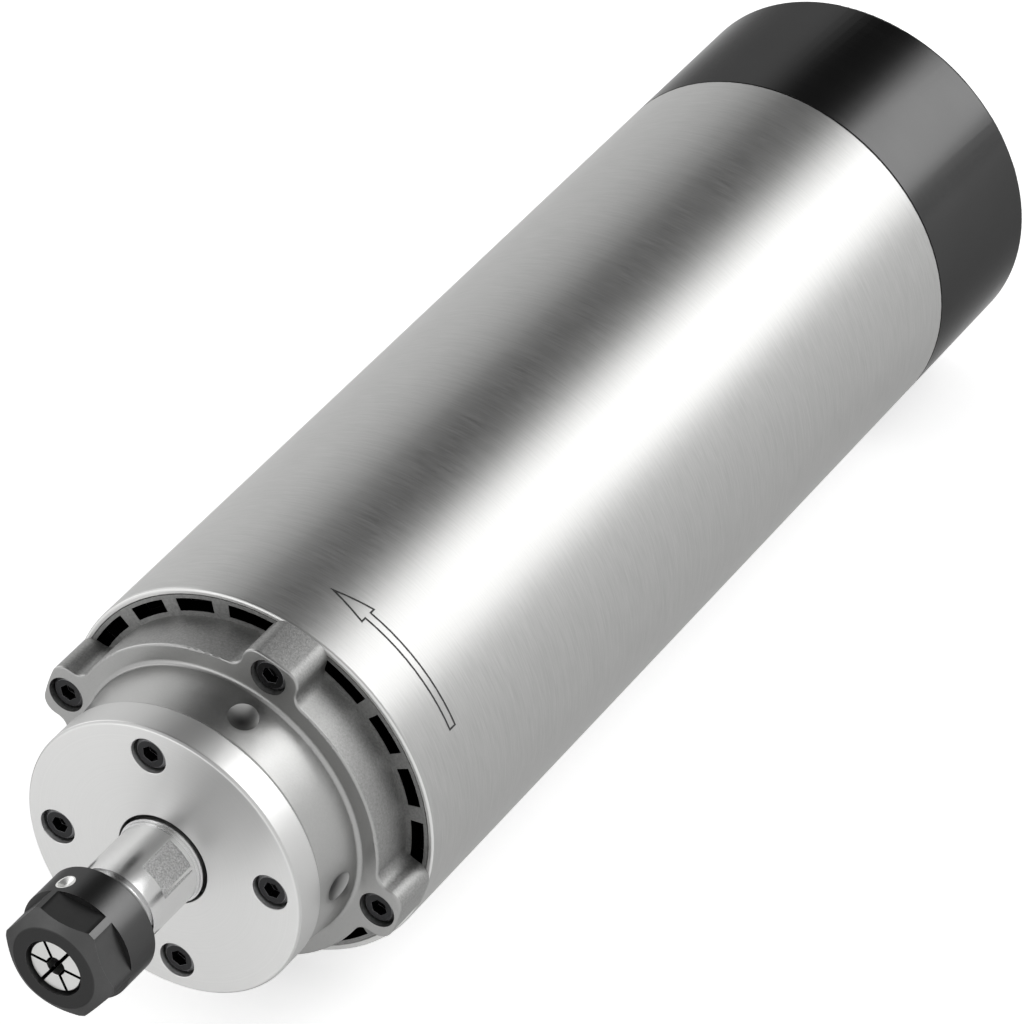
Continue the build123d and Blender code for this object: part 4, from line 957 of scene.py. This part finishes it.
class SPINDLE_OT_tube(bpy.types.Operator):
    """Brushed motor tube with the printed rotation arrow"""
    bl_idname = "spindle.tube"
    bl_label = "Motor tube"

    def execute(self, context):
        dress("motor_tube")
        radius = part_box("motor_tube")[1].x / MM
        width = context.scene.spindle_sizes.arrow_line / MM
        arrow = ink_line("rotation_arrow", arrow_corners(radius), radius, width)
        finish_piece(arrow, "black_cover", "housing")  # the ink has no slot of its own
        arrow.data.materials[0] = etched_ink(tuple(context.scene.spindle_colours.ink))
        return {"FINISHED"}


class SPINDLE_OT_front_housing(bpy.types.Operator):
    """Cast front housing with its bearing cover"""
    bl_idname = "spindle.front_housing"
    bl_label = "Front housing and cover"

    def execute(self, context):
        dress("front_housing")
        dress("front_bearing_cover")
        return {"FINISHED"}


class SPINDLE_OT_screws(bpy.types.Operator):
    """Black socket head screws of the housings and covers"""
    bl_idname = "spindle.screws"
    bl_label = "Socket head screws"

    def execute(self, context):
        worn_and_highlit = rubbed_steel(toned(context.scene.spindle_colours.screws, SCREW_WEAR_AND_HIGHLIGHT_TONE))
        for node in (
            "front_housing_screws", "front_cover_screws", "rear_housing_screws", "rear_cover_screws",
            "fan_screw",
        ):
            screws = dress(node)
            # Painted highlight and wear: the bevelled edges and slanted head faces take the brighter steel
            screws.data.materials.append(worn_and_highlit)
            screws.modifiers["fine_edge"].material = 1
            for face in screws.data.polygons:
                if HEAD_SLOPE[0] < abs(face.normal.y) < HEAD_SLOPE[1]:
                    face.material_index = 1
        return {"FINISHED"}


def draw_in(radius, smaller, start, end):
    """Reshape that draws a cylinder between two stations in to a smaller radius, all in millimetres."""
    def reshape(form):
        for vert in form.verts:
            reach = Vector((vert.co.x, vert.co.z)).length / MM
            station = vert.co.y / MM
            along = start - THREAD_END_SLACK < station < end + THREAD_END_SLACK
            if smaller < reach < radius + THREAD_SLACK and along:
                vert.co.x *= smaller / reach
                vert.co.z *= smaller / reach
    return reshape


class SPINDLE_OT_shaft(bpy.types.Operator):
    """Ground shaft with the thread on its nose"""
    bl_idname = "spindle.shaft"
    bl_label = "Spindle shaft"

    def execute(self, context):
        pitch = context.scene.spindle_sizes.nose_pitch / MM
        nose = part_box("spindle_shaft")[0].y / MM
        ridge = screw_thread(
            "nose_thread", "spindle_shaft", "ground_shaft", NOSE_CREST, pitch,
            nose, NUT_REAR + NOSE_THREAD_BEHIND)
        ridge.data.materials[0] = cut_thread(tuple(context.scene.spindle_colours.shaft))
        return {"FINISHED"}


class SPINDLE_OT_collet(bpy.types.Operator):
    """Slit collet"""
    bl_idname = "spindle.collet"
    bl_label = "Collet"

    def execute(self, context):
        collet = dress("collet", smooth_angle=FINE_SMOOTH_ANGLE)
        # Painted shade: the slit walls take the black oxide finish at a near-black tone
        collet.data.materials.append(black_oxide(toned(context.scene.spindle_colours.collet, SLIT_SHADE_TONE)))
        for face in collet.data.polygons:
            outward = Vector((face.center.x, 0.0, face.center.z)).normalized()
            if abs(face.normal.y) < SLIT_ALONG and abs(face.normal.dot(outward)) < SLIT_OUTWARD:
                face.material_index = 1
        return {"FINISHED"}


class SPINDLE_OT_collet_nut(bpy.types.Operator):
    """Blackened collet nut"""
    bl_idname = "spindle.collet_nut"
    bl_label = "Collet nut"

    def execute(self, context):
        nut = dress("collet_nut", smooth_angle=FINE_SMOOTH_ANGLE)
        # Painted highlight and wear: the bevelled edges of the nut take the brighter steel
        nut.data.materials.append(rubbed_steel(tuple(context.scene.spindle_colours.nut)))
        nut.modifiers["fine_edge"].material = 1
        return {"FINISHED"}


class SPINDLE_OT_rear_cover(bpy.types.Operator):
    """Black rear cover with the air grille"""
    bl_idname = "spindle.rear_cover"
    bl_label = "Rear cover"

    def execute(self, context):
        dress("rear_cover")
        return {"FINISHED"}


class SPINDLE_OT_connector(bpy.types.Operator):
    """Power connector with its thread, insert, pins and leads"""
    bl_idname = "spindle.connector"
    bl_label = "Power connector"

    def execute(self, context):
        pitch = context.scene.spindle_sizes.plug_pitch / MM
        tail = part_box("rear_cover")[1].y / MM
        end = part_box("connector_shell")[1].y / MM
        screw_thread(
            "connector_thread", "connector_shell", "plated_connector", PLUG_CREST, pitch,
            tail + PLUG_THREAD_START, end)
        for node in ("connector_insert", "connector_pins", "connector_nut", "motor_leads"):
            dress(node)
        return {"FINISHED"}


class SPINDLE_OT_motor(bpy.types.Operator):
    """Stator frame, core, windings and rotor"""
    bl_idname = "spindle.motor"
    bl_label = "Motor"

    def execute(self, context):
        for node in ("stator_frame", "stator_core", "stator_windings", "rotor_core", "rotor_cage"):
            dress(node)
        return {"FINISHED"}


class SPINDLE_OT_bearings(bpy.types.Operator):
    """Ball bearings and what clamps them on the shaft"""
    bl_idname = "spindle.bearings"
    bl_label = "Bearings"

    def execute(self, context):
        for bearing in ("front_bearing_a", "front_bearing_b", "rear_bearing"):
            for piece in ("inner_race", "outer_race", "balls", "cage"):
                dress(f"{bearing}_{piece}")
        for node in ("bearing_spacer", "bearing_lock_nut", "preload_washer", "shaft_circlip"):
            dress(node)
        return {"FINISHED"}


class SPINDLE_OT_tail(bpy.types.Operator):
    """Rear bearing housing and cooling fan"""
    bl_idname = "spindle.tail"
    bl_label = "Rear housing and fan"

    def execute(self, context):
        for node in ("rear_bearing_housing", "cooling_fan", "fan_washer"):
            dress(node)
        return {"FINISHED"}


class SPINDLE_PT_panel(bpy.types.Panel):
    """Steps and settings of the spindle's finish"""
    bl_idname = "SPINDLE_PT_panel"
    bl_label = "Motor spindle"
    bl_space_type = "VIEW_3D"
    bl_region_type = "UI"
    bl_category = "Spindle"

    def draw(self, context):
        for step in STEPS:
            self.layout.operator(step.bl_idname)
        for group in (context.scene.spindle_sizes, context.scene.spindle_colours):
            box = self.layout.box()
            for name in group.bl_rna.properties.keys():
                if name not in ("rna_type", "name"):
                    box.prop(group, name)


STEPS = (
    SPINDLE_OT_stage,
    SPINDLE_OT_tube,
    SPINDLE_OT_front_housing,
    SPINDLE_OT_screws,
    SPINDLE_OT_shaft,
    SPINDLE_OT_collet,
    SPINDLE_OT_collet_nut,
    SPINDLE_OT_rear_cover,
    SPINDLE_OT_connector,
    SPINDLE_OT_motor,
    SPINDLE_OT_bearings,
    SPINDLE_OT_tail,
)
CLASSES = (SpindleColours, SpindleSizes, *STEPS, SPINDLE_PT_panel)


def register():
    for kind in CLASSES:
        bpy.utils.register_class(kind)
    bpy.types.Scene.spindle_colours = bpy.props.PointerProperty(type=SpindleColours)
    bpy.types.Scene.spindle_sizes = bpy.props.PointerProperty(type=SpindleSizes)


def unregister():
    del bpy.types.Scene.spindle_sizes
    del bpy.types.Scene.spindle_colours
    for kind in reversed(CLASSES):
        bpy.utils.unregister_class(kind)


def main():
    register()
    for step in STEPS:
        area, name = step.bl_idname.split(".")
        getattr(getattr(bpy.ops, area), name)()


if __name__ == "__main__":
    main()
